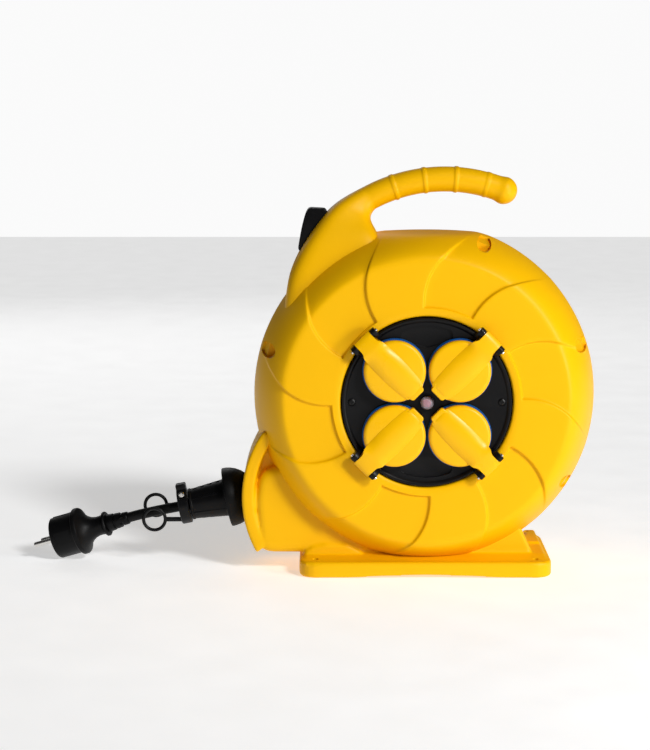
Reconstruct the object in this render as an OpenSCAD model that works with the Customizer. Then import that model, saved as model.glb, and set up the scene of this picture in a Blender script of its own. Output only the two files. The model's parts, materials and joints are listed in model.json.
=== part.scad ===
// Extension cord reel. Two yellow shells close round a drum of rubber cord, and carry a hook
// handle, a base that screws down and a cord outlet. A black panel with four lidded sockets and a
// thermal cut-out turns with the drum, which a crank on the back winds.
// X runs along the base, Y from the socket panel (-Y) to the crank (+Y), and Z is up.
// The origin is on the floor, below the drum's axis, where the two shells meet.

/* [Housing] */
// Largest radius of the drum housing, where its two shells meet
housing_r = 149; // [125:1:180]
// How far the rounded shoulder runs in from there to the flat face
shoulder = 27; // [20:1:34]
// Depth of the housing over its two flat faces
housing_depth = 125; // [104:1:150]
// Wall of both shells
wall = 3; // [2:0.5:3.5]
// Lowest point of the drum housing above the floor
floor_gap = 3.5; // [2:0.5:8]
// Depth of the flat on top of the housing, under the handle
top_flat = 7.5; // [2:0.5:9]
// Depth of the curved panels sunk in both faces
panel_sink = 1.6; // [1:0.2:2]

/* [Handle] */
// Radius of the grip
grip_r = 10.9; // [9:0.1:14]
// Radius of the arc that the grip follows
grip_arc_r = 138.4; // [120:0.1:170]
// Clear height for the fingers, from the flat up to the grip
finger_gap = 34.6; // [28:0.1:45]

/* [Base] */
// Length of the base along X
base_w = 218; // [180:1:260]
// Depth of the base along Y
base_depth = 128; // [110:1:156]
// Height of the base's skirt
base_h = 14; // [10:1:18]
// Distance between the fixing holes along X
fixing_dx = 190; // [150:1:194]
// Distance between the fixing holes along Y
fixing_dy = 104; // [85:1:106]
// Radius of a fixing hole
fixing_r = 2.75; // [2:0.05:3.5]

/* [Drum] */
// From the housing's face to the inner face of the drum's flange
flange_inset = 19.5; // [18:0.5:24]
// Thickness of a flange and of the hub's tube
drum_wall = 3; // [2:0.5:4]
// Gap between a flange's rim and the housing
rim_gap = 4.7; // [4:0.1:8]
// How far the wound cord stays below the flange's rim
wound_margin = 5; // [4:0.5:20]
// Diameter of the cord
cord_d = 9.1; // [7:0.1:10]
// Radius of the drum's shaft
shaft_r = 12; // [9:0.5:14]
// Gap between parts that turn on each other
running = 0.05; // [0.02:0.01:0.1]

/* [Sockets] */
// Radius of the socket well
well_r = 20.5; // [20:0.1:21]
// Depth of the socket well
well_depth = 17.5; // [17:0.1:18]
// Wall of a socket insert
socket_wall = 4.5; // [3:0.5:5]
// Radius of a lid
lid_r = 26.4; // [26:0.1:29]
// Gap between neighbouring lids
lid_gap = 2.6; // [1:0.1:5]
// From a socket's raised rim to the rim of the panel
panel_margin = 5.8; // [4.6:0.1:10]
// Radius of a lid's hinge pin
hinge_pin_r = 1.6; // [1.2:0.1:2]
// Travel of the reset button
button_travel = 2; // [1:0.1:2.4]

/* [Crank] */
// From the drum's axis to the knob's pin
crank_len = 85; // [60:1:95]
// Radius of the knob's pin
knob_pin_r = 4; // [3:0.5:5]
// Length of the knob
knob_len = 38; // [30:1:50]

/* [Brake] */
// Width of the thumb lever
lever_w = 18; // [14:1:20]
// Radius of the lever's pivot pin
lever_pin_r = 2; // [1.5:0.1:2.5]

/* [Outlet and plug] */
// Radius of the curved plate round the cord's outlet
outlet_arc_r = 99; // [90:1:110]
// Radius of the stop ball on the cord
ball_r = 26; // [24:0.5:30]
// Radius of the plug's body
plug_r = 18.75; // [18:0.05:19]
// Radius of a plug pin
plug_pin_r = 2.4; // [2.35:0.05:2.45]

/* [Hidden] */

eps = 0.01;
far = 400;
$fn = 64;

yellow = "gold";
black = "#202022";
steel = "silver";
blue = "#0b4f9c";

// Housing. "f" is a distance forwards from the plane where the shells meet, so Y = -f.
axis_h = housing_r + floor_gap;
face_r = housing_r - shoulder;
half_depth = housing_depth / 2;
flat_h = housing_r - top_flat;
barrel_power = 1.6;
barrel_steps = 12;
blade_first = 2;
blade_span = 30;
blade_inset = 8.5;
blade_sweep = 7;
side_f = 37.5;
boss_r = 8;
boss_at = housing_r - 7;
pocket_r = 6.4;
pocket_floor = 12;
notch_floor = 31;
screw_r = 2;
screw_gap = 0.1;
screw_reach = 12;
screw_end_gap = 0.5;
screw_head_r = 4.4;
screw_head_h = 2.6;
rim_screw_angles = [19, 69.5, 163, 329];

// Handle and its root
grip_x = 17;
grip_z = flat_h + finger_gap + grip_r - grip_arc_r;
grip_start = 68.4;
grip_end = 119;
grip_ball_r = 12.2;
ring_step = 11.2;
ring_first = 74.8;
ring_count = 4;
ring_r = grip_r + 0.9;
ring_angle = 1.1;

// Drum
flange_f = half_depth - flange_inset;
flange_r = barrel_radius(flange_f + drum_wall, wall) - rim_gap;
socket_r = well_r + socket_wall;
socket_rim_r = lid_r + 1.1;
pitch = (lid_r + lid_gap / 2) * sqrt(2);
panel_r = pitch + socket_rim_r + panel_margin;
hub_r = panel_r + 1.5;
wound_r = flange_r - wound_margin;
drum_screw_at = hub_r - 10;
drum_screw_r = 1.8;
drum_screw_boss_r = 4.5;
drum_screw_len = 14;
drum_screw_head_r = 3.6;
drum_screw_head_h = 2.5;
drum_boss_t = 6;
end_gap = 0.5;

// Socket panel, from the plate's back to the tops of the lids
panel_gap = 0.8;
plate_f = half_depth - 5;
plate_t = 3.5;
panel_f = plate_f + plate_t;
rim_f = panel_f + 1.8;
skirt_t = 3;
socket_f = panel_f + 4;
socket_back = 25;
well_floor = 4.5;
pin_spacing = 19;
pin_hole_r = 2.5;
lid_clear = 0.4;
lid_back = socket_f + lid_clear;
lid_front = lid_back + 8.6;
lid_top = lid_front + 4;
lid_skirt = 2;
lid_t = 2.5;
band_w = 22;
tab_w = 16;
spring_r = 2.7;
spring_from = 2.2;
seal_t = 3;
seal_h = 2.6;
hinge_at = pitch + lid_r + 10.4;
hinge_f = panel_f + 10;
barrel_w = 16.5;
hinge_r = 4.2;
ear_gap = 0.35;
ear_t = 5.5;
ear_top = 5;
lid_angles = [45, 135, 225, 315];
panel_screw_angles = [0, 180];
panel_screw_at = panel_r - 8.5;
panel_screw_r = 1.5;
panel_screw_head_r = 3.3;
panel_screw_sink = 1.8;

// Thermal cut-out
button_r = 3.7;
neck_r = 5.5;
boot_r = 5.7;
boot_t = 0.9;
boot_h = 3.8;
button_top = panel_f + 4.6;
button_well = 14;
cutout_w = 14;
cutout_h = 18;
cutout_depth = 36;

// Shaft, bearing and crank, measured backwards from the shells' joint plane
bush_t = 4;
bush_len = 7;
bush_rim = 5;
bush_rim_t = 2.5;
crank_t = 10;
crank_cap = 1;
shaft_collar = 14;
shaft_collar_t = 4;
crank_back = half_depth + 5;
crank_angle = 220;
crank_hub_r = 18;
crank_end_r = 12;
crank_screw_r = 2.5;
crank_screw_head_r = 6;
crank_screw_head_h = 3;
knob_head = 3;
knob_head_t = 2;
knob_r = 13;
knob_gap = 0.4;

// Brake lever, pivoted in the handle's root
lever_x = -103;
lever_z = housing_r - 20;
lever_gap = 0.6;
pad_gap = 0.5;
pad_angle = acos(-87.6 / (flange_r + pad_gap));
pad_t = 1.9;
pad_len = 10;
carrier_t = 3;
carrier_w = 8;
carrier_h = 6;
carrier_len = 12;
lever_hub_r = 3.3;
lever_pin_hold = 6;
spring_start = 4.5;
spring_gap = 0.3;

// Base
step_h = 2.5;
step_inset = 4.5;
mound_f = 40;
pedestal_f = 36;
arch_x = 76;
arch_h = 3;

// Outlet
outlet_x = -(housing_r - 89);
outlet_z = 65;
outlet_plate = 12;
outlet_box_f = 36.5;
outlet_from = 143;
outlet_to = 209.8;
outlet_tilt = 11;
ball_x = outlet_x - outlet_arc_r - 13;
ball_z = 59.5;
mouth_r = ball_r - 2;
cord_gap = 0.15;
cord_r = cord_d / 2;
sleeve_len = 34;
clamp_start = 35;
clamp_w = 9;
clamp_r = 16;
clamp_lug = 4;
clamp_lug_w = 10;
clamp_screw_r = 1.5;
clamp_screw_head_r = 3;
clamp_head_at = 9;
ring_x = -237;
ring_mid_r = 9.6;
ring_wire_r = 1.5;
ring_arm_len = 16;
ring_arm_t = 2.4;
ring_arm_h = 4;

// Cord, from the sleeve to the plug, and from the winding to the sleeve
cord_route = [
    [-201.4, 0, 53.8], [-205.7, 0, 53], [-210, 0.1, 52.1], [-214.3, 0.3, 51.2], [-218.6, 0.6, 50.3],
    [-222.9, 1, 49.4], [-227.2, 1.5, 48.5], [-231.5, 2.1, 47.5], [-235.8, 2.8, 46.5], [-240.1, 3.6, 45.4],
    [-244.4, 4.4, 44.3], [-248.7, 5.3, 43.2], [-252.9, 6.2, 42], [-257.1, 7.1, 40.7], [-261.2, 7.9, 39.4]
];
inner_route = [
    [-92, 0, 63.5], [-95, 0, 65.8], [-101, 0, 68.5], [-109, 0, 69.6], [-118, 0, 69], [-130, 0, 67.4],
    [-144, 0, 64.9], [-158, 0, 62.2], [-172, 0, 59.5], [-187, 0, 56.6], [-201.4, 0, 53.8]
];
cord_sides = 12;

// Plug
plug_tilt = 17.5;
plug_yaw = 12;
relief_len = 20;
plug_len = 50;
plug_at = cord_route[len(cord_route) - 1];
pin_len = 19;

// Radius of the housing at distance f from its joint plane, "skin" inside its outer surface
function barrel_radius(f, skin) =
    let (t = min(1, abs(f) / (half_depth - skin)))
    face_r - skin + shoulder * pow(1 - pow(t, barrel_power), 1 / barrel_power);

// Points of that curve from the joint plane to the flat face
function barrel_curve(skin) = [
    for (i = [0:barrel_steps])
        let (a = 90 * i / barrel_steps)
        [face_r - skin + shoulder * pow(cos(a), 2 / barrel_power),
         (half_depth - skin) * pow(sin(a), 2 / barrel_power)]
];

// A tube swept along a route, as rings joined by triangles
function route_dir(p, i) =
    let (a = p[max(i - 1, 0)], b = p[min(i + 1, len(p) - 1)])
    (b - a) / norm(b - a);
function route_side(d) = let (s = cross([0, 1, 0], d)) s / norm(s);

module sweep(route, r) {
    n = len(route);
    k = cord_sides;
    rings = [
        for (i = [0:n - 1])
            let (d = route_dir(route, i), u = route_side(d), v = cross(d, u))
            for (j = [0:k - 1])
                route[i] + r * (u * cos(360 * j / k) + v * sin(360 * j / k))
    ];
    walls = [
        for (i = [0:n - 2], j = [0:k - 1])
            let (a = i * k + j, b = i * k + (j + 1) % k)
            [a, b, b + k, a + k]
    ];
    start_cap = [[for (j = [k - 1:-1:0]) j]];
    end_cap = [[for (j = [0:k - 1]) (n - 1) * k + j]];
    polyhedron(rings, concat(start_cap, walls, end_cap));
}

// Extrudes an (X, Z) outline from f0 to f1 in front of the joint plane
module along_f(f0, f1) {
    translate([0, -f0, 0]) rotate([90, 0, 0]) linear_extrude(f1 - f0) children();
}

// Turns a (radius, f) outline round an axis parallel to Y
module turned() {
    rotate([90, 0, 0]) rotate_extrude($fn = 96) children();
}

// A disc or tube round the Y direction, from f0 to f1
module round_f(f0, f1, r) {
    translate([0, -f0, 0]) rotate([90, 0, 0]) cylinder(r = r, h = f1 - f0);
}

module ring_f(f0, f1, r_out, r_in) {
    difference() {
        round_f(f0, f1, r_out);
        round_f(f0 - 1, f1 + 1, r_in);
    }
}

module to_axis() {
    translate([0, 0, axis_h]) children();
}

// Places children at a distance out from the drum's axis
module out_at(angle, r) {
    rotate([0, -angle, 0]) translate([r, 0, 0]) children();
}

// ---------- Housing shells ----------

// Front half of the drum housing's form, with the flat under the handle
module half_barrel(skin) {
    intersection() {
        turned() polygon(concat([[0, 0]], barrel_curve(skin), [[0, half_depth - skin]]));
        translate([-far / 2, -far / 2, -far + flat_h - skin]) cube(far);
    }
}

// One blade of the turbine pattern: a sector whose two long edges sweep round as they go out
module blade(start, span, r_in, r_out, sweep_angle) {
    steps = 6;
    edge = function (base, t)
        let (r = r_in + (r_out - r_in) * t, a = base - sweep_angle * t * t)
        [r * cos(a), r * sin(a)];
    polygon(concat(
        [for (i = [0:steps]) edge(start, i / steps)],
        [for (i = [steps:-1:0]) edge(start + span, i / steps)]
    ));
}

module blades() {
    for (i = [0:5])
        along_f(half_depth - panel_sink, half_depth + 1)
            blade(blade_first + 60 * i, blade_span, panel_r + blade_inset, face_r - 1, blade_sweep);
}

// Half of the arched grip, its rings and its ball end
module half_circle(r) {
    intersection() {
        circle(r = r);
        translate([-r - 1, 0]) square([2 * r + 2, r + 1]);
    }
}

module arc_tube(a0, a1, r) {
    translate([grip_x, 0, grip_z]) rotate([90, 0, 0]) rotate([0, 0, a0])
        rotate_extrude(angle = a1 - a0, $fn = 96)
            translate([grip_arc_r, 0]) half_circle(r);
}

module grip() {
    arc_tube(grip_start, grip_end, grip_r);
    for (i = [0:ring_count - 1])
        arc_tube(ring_first + ring_step * i - ring_angle, ring_first + ring_step * i, ring_r);
    translate([grip_x + grip_arc_r * cos(grip_start), 0, grip_z + grip_arc_r * sin(grip_start)])
        turned() intersection() {
            circle(r = grip_ball_r);
            square(grip_ball_r + 1);
        }
}

function on_grip(a, r) = [grip_x + (grip_arc_r + r) * cos(a), grip_z + (grip_arc_r + r) * sin(a)];

// Handle root in the (X, Z) plane, shrunk by "skin", and its depth against Z
function root_outline(skin) = [
    [-60, housing_r - 90],
    [-120 + skin, housing_r - 64],
    [-117.5 + skin, housing_r - 44.5],
    [-109 + skin, housing_r - 26.5],
    [-83 + skin, housing_r + 12.5 - skin / 2],
    [-71 + skin, housing_r + 22 - skin],
    on_grip(grip_end + skin / 2, grip_r - skin),
    on_grip(grip_end + skin / 2, skin - grip_r),
    [-46.5 - skin, housing_r + 2.5],
    [-42 - skin, flat_h - 8],
    [-20, housing_r - 60]
];

function root_depth(skin) = [
    [0, housing_r - 100],
    [skin - side_f, housing_r - 100],
    [skin - side_f, housing_r - 45],
    [skin - side_f + 4, housing_r - 22],
    [skin - side_f + 13, housing_r + 5],
    [skin - side_f + 22, housing_r + 22],
    [skin - grip_r, housing_r + 36],
    [0, housing_r + 36]
];

module root(skin) {
    intersection() {
        along_f(0, far) polygon(root_outline(skin));
        translate([-far / 2, 0, 0]) rotate([90, 0, 90]) linear_extrude(far) polygon(root_depth(skin));
    }
}

// Slot in the root for the thumb lever
module lever_slot() {
    along_f(0, lever_w / 2 + lever_gap)
        polygon([
            [-130, housing_r - 28], [-130, housing_r + 30], [-92, housing_r + 20],
            [-76, housing_r + 15], [-70, housing_r + 4], [-92, housing_r - 28]
        ]);
}

// Outlet: a curved plate and a box behind it, both in absolute height
module outlet_box(skin) {
    x0 = outlet_x - outlet_arc_r + outlet_plate - 2 + skin;
    z0 = base_h + 2.2 + skin;
    z1 = outlet_z + 26 - skin;
    along_f(0, outlet_box_f - skin)
        polygon([
            [x0 + 1, outlet_z - 30], [x0 - 2, outlet_z], [x0 + 2, z1 - 6], [x0 + 10, z1], [-60, z1],
            [-40, z0 + skin], [-60, z0], [x0 + 14, z0], [x0 + 4, z0 + 5]
        ]);
}

// Closes the valley between the plate's upper end and the drum housing
module outlet_web() {
    x0 = outlet_x - outlet_arc_r + outlet_plate;
    along_f(0, side_f / 2)
        polygon([[x0 - 4, outlet_z + 20], [x0 + 4, outlet_z + 42], [x0 + 30, outlet_z + 42], [x0 + 30, outlet_z + 20]]);
}

module outlet_plate_arc() {
    translate([outlet_x, 0, outlet_z]) rotate([90, 0, 0]) rotate([0, 0, outlet_from])
        rotate_extrude(angle = outlet_to - outlet_from, $fn = 96)
            translate([outlet_arc_r - outlet_plate, 0]) square([outlet_plate, side_f]);
}

// Places children with their Z axis along the cord as it leaves the outlet
module at_ball() {
    translate([ball_x, 0, ball_z]) rotate([0, -90 - outlet_tilt, 0]) children();
}

module mouth() {
    at_ball() translate([0, 0, -60]) cylinder(r = mouth_r, h = 80);
}

// Base plate outline with rounded corners, front half
function corner(cx, cy, r, a0) = [for (i = [0:6]) [cx + r * cos(a0 + 15 * i), cy + r * sin(a0 + 15 * i)]];

module base_outline(skin) {
    r = 8;
    x = base_w / 2 - skin;
    y = base_depth / 2 - skin;
    polygon(concat([[x, 0], [-x, 0]], corner(-x + r, -y + r, r, 180), corner(x - r, -y + r, r, 270)));
}

module base_solid() {
    linear_extrude(base_h) base_outline(0);
    // Its top rises from the front edge to the step
    translate([-base_w / 2 + step_inset, 0, 0]) rotate([90, 0, 90]) linear_extrude(base_w - 2 * step_inset)
        polygon([
            [0, base_h - 2], [2 - base_depth / 2, base_h - 2], [2 - base_depth / 2, base_h],
            [-side_f, base_h + step_h], [0, base_h + step_h]
        ]);
    // Low mound under the outlet box
    along_f(0, mound_f)
        polygon([
            [-106, base_h - 1], [-104.5, base_h + 4], [-97.5, base_h + 8.8], [-84, base_h + 11.2],
            [-67.5, base_h + 10.3], [-56, base_h + 4], [-50, base_h - 1]
        ]);
    along_f(0, pedestal_f)
        polygon([
            [-62, base_h - 2], [-62, base_h + 16], [40, base_h + 16], [83, base_h + 26], [95, base_h - 1]
        ]);
}

// Hollow under the base, round the fixing bosses and the drum housing
module base_hollow() {
    difference() {
        translate([0, 0, -1]) linear_extrude(base_h - 3) base_outline(wall);
        to_axis() half_barrel(0);
        for (s = [-1, 1])
            translate([s * fixing_dx / 2, -fixing_dy / 2, -2]) cylinder(r = 8, h = base_h);
    }
    along_f(0, base_depth)
        polygon([
            [-arch_x, -1], [-arch_x, 0], [-arch_x / 2, arch_h * 0.7], [0, arch_h], [arch_x / 2, arch_h * 0.7],
            [arch_x, 0], [arch_x, -1]
        ]);
}

module fixing_holes() {
    for (s = [-1, 1])
        translate([s * fixing_dx / 2, -fixing_dy / 2, -1]) cylinder(r = fixing_r, h = base_h + 6);
}

module rim_screw_places() {
    for (a = rim_screw_angles) out_at(a, boss_at) children();
}

// What both shells share, on the front side of the joint plane. A rim screw runs "hole" into its
// boss, and a pocket opens from "pocket" outwards.
module half_housing(hole, pocket) {
    difference() {
        union() {
            difference() {
                union() {
                    to_axis() {
                        half_barrel(0);
                        grip();
                        root(0);
                    }
                    outlet_box(0);
                    outlet_web();
                    outlet_plate_arc();
                    base_solid();
                }
                to_axis() {
                    half_barrel(wall);
                    root(wall);
                    lever_slot();
                }
                outlet_box(wall);
                mouth();
                base_hollow();
            }
            to_axis() {
                intersection() {
                    half_barrel(0);
                    rim_screw_places() round_f(0, half_depth, boss_r);
                }
                translate([lever_x, 0, lever_z]) round_f(lever_w / 2 + lever_gap, side_f - 6, 4.5);
            }
        }
        to_axis() {
            rim_screw_places() {
                round_f(-1, hole, screw_r + screw_gap);
                round_f(pocket, half_depth + 1, pocket_r);
            }
            translate([lever_x, 0, lever_z]) round_f(0, lever_w / 2 + 6, lever_pin_r);
            blades();
        }
        fixing_holes();
    }
}

module front_shell() {
    color(yellow) difference() {
        half_housing(screw_reach + screw_end_gap, notch_floor);
        to_axis() {
            round_f(0, half_depth + 1, panel_r + panel_gap);
            turned() polygon([
                [panel_r - 1, half_depth - 3], [panel_r + 1.5, half_depth - 3],
                [panel_r + 8.5, half_depth + eps], [panel_r + 8.5, half_depth + 1],
                [panel_r - 1, half_depth + 1]
            ]);
        }
    }
}

module rear_shell() {
    color(yellow) difference() {
        mirror([0, 1, 0]) half_housing(half_depth, pocket_floor);
        to_axis() round_f(-half_depth - 1, 0, shaft_r + running + bush_t);
    }
}

module housing_screws() {
    color(steel) to_axis() rim_screw_places() {
        round_f(-pocket_floor - eps, screw_reach, screw_r);
        round_f(-pocket_floor - screw_head_h, -pocket_floor, screw_head_r);
    }
}

module rear_bearing() {
    bore = shaft_r + running;
    color("white") to_axis() {
        ring_f(-half_depth, -half_depth + bush_len, bore + bush_t, bore);
        ring_f(-half_depth - bush_rim_t, -half_depth, bore + bush_t + bush_rim, bore);
    }
}

// ---------- Brake lever ----------

module at_lever() {
    to_axis() translate([lever_x, 0, lever_z]) children();
}

// A bar in the (X, Z) plane from p to q
module bar(p, q, w) {
    d = q - p;
    translate(p) rotate(atan2(d[1], d[0])) translate([0, -w / 2]) square([norm(d), w]);
}

module brake_lever() {
    pad_r = flange_r + pad_gap;
    carrier = [(pad_r + carrier_t / 2) * cos(pad_angle), (pad_r + carrier_t / 2) * sin(pad_angle)];
    color(black) difference() {
        union() {
            to_axis() {
                along_f(-lever_w / 2, lever_w / 2)
                    polygon([
                        [-110.5, housing_r - 23], [-107, housing_r - 4], [-103.5, housing_r + 9],
                        [-101, housing_r + 13.5], [-85, housing_r + 12.5], [-84, housing_r + 6],
                        [-99, housing_r - 16], [-100, housing_r - 24], [-106, housing_r - 25.5]
                    ]);
                along_f(-carrier_w / 2, carrier_w / 2) bar([lever_x, lever_z], carrier, carrier_h);
                along_f(-flange_f + 1, carrier_w / 2)
                    rotate(pad_angle) translate([pad_r, -carrier_len / 2]) square([carrier_t, carrier_len]);
            }
            at_lever() round_f(-lever_w / 2, lever_w / 2, lever_hub_r);
        }
        at_lever() {
            round_f(-far, far, lever_pin_r + running);
            ring_f(spring_start, lever_w / 2 + 1, lever_hub_r + 2.1, lever_hub_r);
        }
    }
}

module brake_pad() {
    color("#3a3a3a") to_axis()
        along_f(-flange_f - drum_wall / 2, -flange_f + 1)
            rotate(pad_angle) translate([flange_r + pad_gap, -pad_len / 2]) square([pad_t, pad_len]);
}

module lever_pin() {
    color(steel) at_lever() round_f(-lever_w / 2 - lever_pin_hold, lever_w / 2 + lever_pin_hold, lever_pin_r);
}

module lever_spring() {
    color(steel) at_lever()
        ring_f(spring_start + spring_gap, lever_w / 2 - spring_gap, lever_hub_r + 1.8, lever_hub_r + spring_gap);
}

// ---------- Drum ----------

module drum_screw_places() {
    for (i = [0:3])
        out_at(90 * i, drum_screw_at) children();
}

// Half a drum: hub tube, flange and screw bosses, in front of the joint plane
module half_drum() {
    difference() {
        union() {
            turned() polygon([
                [hub_r - drum_wall, 0], [hub_r, 0], [hub_r, flange_f], [flange_r, flange_f],
                [flange_r, flange_f + drum_wall], [hub_r - drum_wall, flange_f + drum_wall]
            ]);
            intersection() {
                round_f(0, flange_f, hub_r - 1);
                drum_screw_places() {
                    round_f(0, drum_screw_len, drum_screw_boss_r);
                    translate([0, -drum_screw_len, -2]) cube([hub_r - drum_screw_at, drum_screw_len, 4]);
                }
            }
        }
        drum_screw_places() round_f(-1, drum_screw_len + 1, drum_screw_r + screw_gap);
    }
}

module drum_front() {
    color("#2b2b2e") to_axis() half_drum();
}

module drum_rear() {
    color("#2b2b2e") to_axis() {
        mirror([0, 1, 0]) half_drum();
        ring_f(-flange_f - drum_wall, -flange_f, hub_r - drum_wall + eps, shaft_r);
        ring_f(-half_depth + bush_len + end_gap, -flange_f - drum_wall + eps, shaft_r + drum_boss_t, shaft_r);
    }
}

module drum_screws() {
    color(steel) to_axis() drum_screw_places() {
        round_f(-drum_screw_len, drum_screw_len, drum_screw_r);
        round_f(drum_screw_len, drum_screw_len + drum_screw_head_h, drum_screw_head_r);
    }
}

module wound_cord() {
    color("#161616") to_axis() ring_f(-flange_f + 0.2, flange_f - 0.2, wound_r, hub_r + 0.2);
}

module drum_shaft() {
    color(steel) to_axis() {
        round_f(-crank_back - crank_t + crank_cap, -flange_f, shaft_r);
        round_f(-flange_f, -flange_f + shaft_collar_t, shaft_r + shaft_collar);
    }
}

// ---------- Socket panel ----------

module at_sockets() {
    to_axis() for (a = lid_angles) out_at(a, pitch) children();
}

// One of the two wide finger recesses
module panel_recess() {
    along_f(panel_f - 1.2, panel_f + 1)
        polygon([[-21, panel_r - 12], [-17, panel_r - 20], [17, panel_r - 20], [21, panel_r - 12], [12, panel_r - 7],
                 [-12, panel_r - 7]]);
}

// Half section of the panel
panel_outline = [
    [0, plate_f], [panel_r - skirt_t, plate_f], [panel_r - skirt_t, flange_f + drum_wall],
    [panel_r, flange_f + drum_wall], [panel_r, rim_f], [panel_r - 2, rim_f],
    [panel_r - 4, panel_f], [0, panel_f]
];

// Two ears that hold a lid's hinge pin, in the frame of the drum's axis turned to the lid
module ear_pair() {
    for (s = [-1, 1])
        translate([0, 0, s > 0 ? barrel_w / 2 + ear_gap : -barrel_w / 2 - ear_gap - ear_t])
            rotate([90, 0, 0]) rotate([-90, 0, 0])
                linear_extrude(ear_t)
                    polygon([
                        [hinge_at - 8, -panel_f + 0.5], [hinge_at - 5, -panel_f + 0.5],
                        [hinge_at - 3.5, -panel_f - 3.5], [hinge_at + 4.5, -panel_f - 3.5],
                        [hinge_at + 5, -hinge_f], [hinge_at + 3, -hinge_f - 4.5],
                        [hinge_at - 1, -hinge_f - ear_top], [hinge_at - 6, -hinge_f - 2],
                        [hinge_at - 8, -panel_f - 5]
                    ]);
}

module hinge_pin_bore(r, half_len) {
    translate([hinge_at, -hinge_f, -half_len]) cylinder(r = r, h = 2 * half_len);
}

module socket_panel() {
    color(black) to_axis() difference() {
        turned() polygon(panel_outline);
        for (a = lid_angles) out_at(a, pitch) round_f(0, far, socket_r);
        round_f(0, far, neck_r);
        panel_recess();
        mirror([0, 0, 1]) panel_recess();
        for (a = panel_screw_angles) out_at(a, panel_screw_at) {
            round_f(0, far, panel_screw_r + screw_gap);
            round_f(panel_f - panel_screw_sink, far, panel_screw_head_r + screw_gap);
        }
    }
}

module hinge_ears() {
    color(black) to_axis() difference() {
        for (a = lid_angles) rotate([0, -a, 0]) difference() {
            ear_pair();
            hinge_pin_bore(hinge_pin_r, barrel_w);
        }
        turned() polygon(panel_outline);
    }
}

module panel_screws() {
    color(steel) to_axis()
        for (a = panel_screw_angles) out_at(a, panel_screw_at) {
            round_f(plate_f - 8, panel_f - panel_screw_sink, panel_screw_r);
            round_f(panel_f - panel_screw_sink, panel_f - 0.2, panel_screw_head_r);
        }
}

// ---------- Sockets ----------

module socket(i) {
    floor_f = socket_f - well_depth;
    color(blue) to_axis() out_at(lid_angles[i], pitch) difference() {
        union() {
            ring_f(panel_f, socket_f, socket_rim_r, well_r);
            ring_f(socket_f - socket_back, panel_f + eps, socket_r, well_r);
            round_f(floor_f - well_floor, floor_f, socket_r);
        }
        for (s = [-1, 1]) translate([0, 0, s * pin_spacing / 2]) round_f(0, far, pin_hole_r);
    }
}

module socket_upper_right() { socket(0); }
module socket_upper_left() { socket(1); }
module socket_lower_left() { socket(2); }
module socket_lower_right() { socket(3); }

module earth_clips() {
    floor_f = socket_f - well_depth;
    color(steel) at_sockets() for (s = [-1, 1])
        translate([s * (well_r - 1) - 0.7, -floor_f - 13, -2]) cube([1.4, 13, 4]);
}

module socket_contacts() {
    back = socket_f - well_depth - well_floor;
    color("goldenrod") at_sockets() for (s = [-1, 1])
        translate([0, 0, s * pin_spacing / 2]) ring_f(back - 12, back, 3.6, 2.3);
}

// Two flat rings that join the four sockets' contacts behind the panel
module bus_bars() {
    back = socket_f - well_depth - well_floor - 12;
    color("goldenrod") to_axis()
        for (r = [pitch - 2, pitch + 4]) ring_f(back - 1.5 - (r > pitch ? 4 : 0), back - (r > pitch ? 4 : 0), r + 2, r - 2);
}

// ---------- Lids ----------

module lid(i) {
    color(yellow) to_axis() rotate([0, -lid_angles[i], 0]) difference() {
        union() {
            translate([pitch, 0, 0]) {
                round_f(lid_back + seal_h, lid_front, lid_r);
                ring_f(lid_back, lid_back + seal_h + eps, lid_r, lid_r - lid_skirt);
            }
            // Raised band with a domed top, the arm to the hinge and the tab at the other end
            translate([0, 0, -band_w / 2]) linear_extrude(band_w) polygon([
                [pitch - lid_r + 1, 1 - lid_front], [pitch - lid_r + 2, -lid_front - 1],
                [pitch - 14, -lid_top + 1], [pitch, -lid_top], [pitch + 14, -lid_top + 0.3],
                [pitch + lid_r - 3, -lid_front - 2.8], [pitch + lid_r - 3, 1 - lid_front]
            ]);
            translate([0, 0, -barrel_w / 2]) linear_extrude(barrel_w) polygon([
                [pitch + lid_r - 8, -lid_back - 3], [hinge_at, 2.5 - hinge_f], [hinge_at, -hinge_f - hinge_r],
                [pitch + lid_r - 4, -lid_front - 3.1], [pitch + lid_r - 8, -lid_front - 3.4]
            ]);
            translate([hinge_at, -hinge_f, -barrel_w / 2]) cylinder(r = hinge_r, h = barrel_w);
            translate([0, 0, -tab_w / 2]) linear_extrude(tab_w)
                polygon([[pitch - lid_r - 2.2, -lid_back - 1.5], [pitch - lid_r + 2, -lid_back - 1.5],
                         [pitch - lid_r + 2, -lid_front - 2], [pitch - lid_r - 2.2, -lid_front]]);
        }
        translate([pitch, 0, 0]) round_f(lid_back, lid_front - lid_t, lid_r - lid_skirt - seal_t);
        hinge_pin_bore(hinge_pin_r + running, barrel_w);
        translate([hinge_at, -hinge_f, spring_from - 0.2]) cylinder(r = spring_r + 0.3, h = barrel_w);
    }
}

module lid_upper_right() { lid(0); }
module lid_upper_left() { lid(1); }
module lid_lower_left() { lid(2); }
module lid_lower_right() { lid(3); }

module seal(i) {
    r = lid_r - lid_skirt;
    color("#303030") to_axis() out_at(lid_angles[i], pitch) ring_f(lid_back, lid_back + seal_h, r, r - seal_t);
}

module seal_upper_right() { seal(0); }
module seal_upper_left() { seal(1); }
module seal_lower_left() { seal(2); }
module seal_lower_right() { seal(3); }

module lid_pins() {
    color(steel) to_axis() for (a = lid_angles)
        rotate([0, -a, 0]) hinge_pin_bore(hinge_pin_r, barrel_w / 2 + ear_gap + ear_t + 0.6);
}

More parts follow.
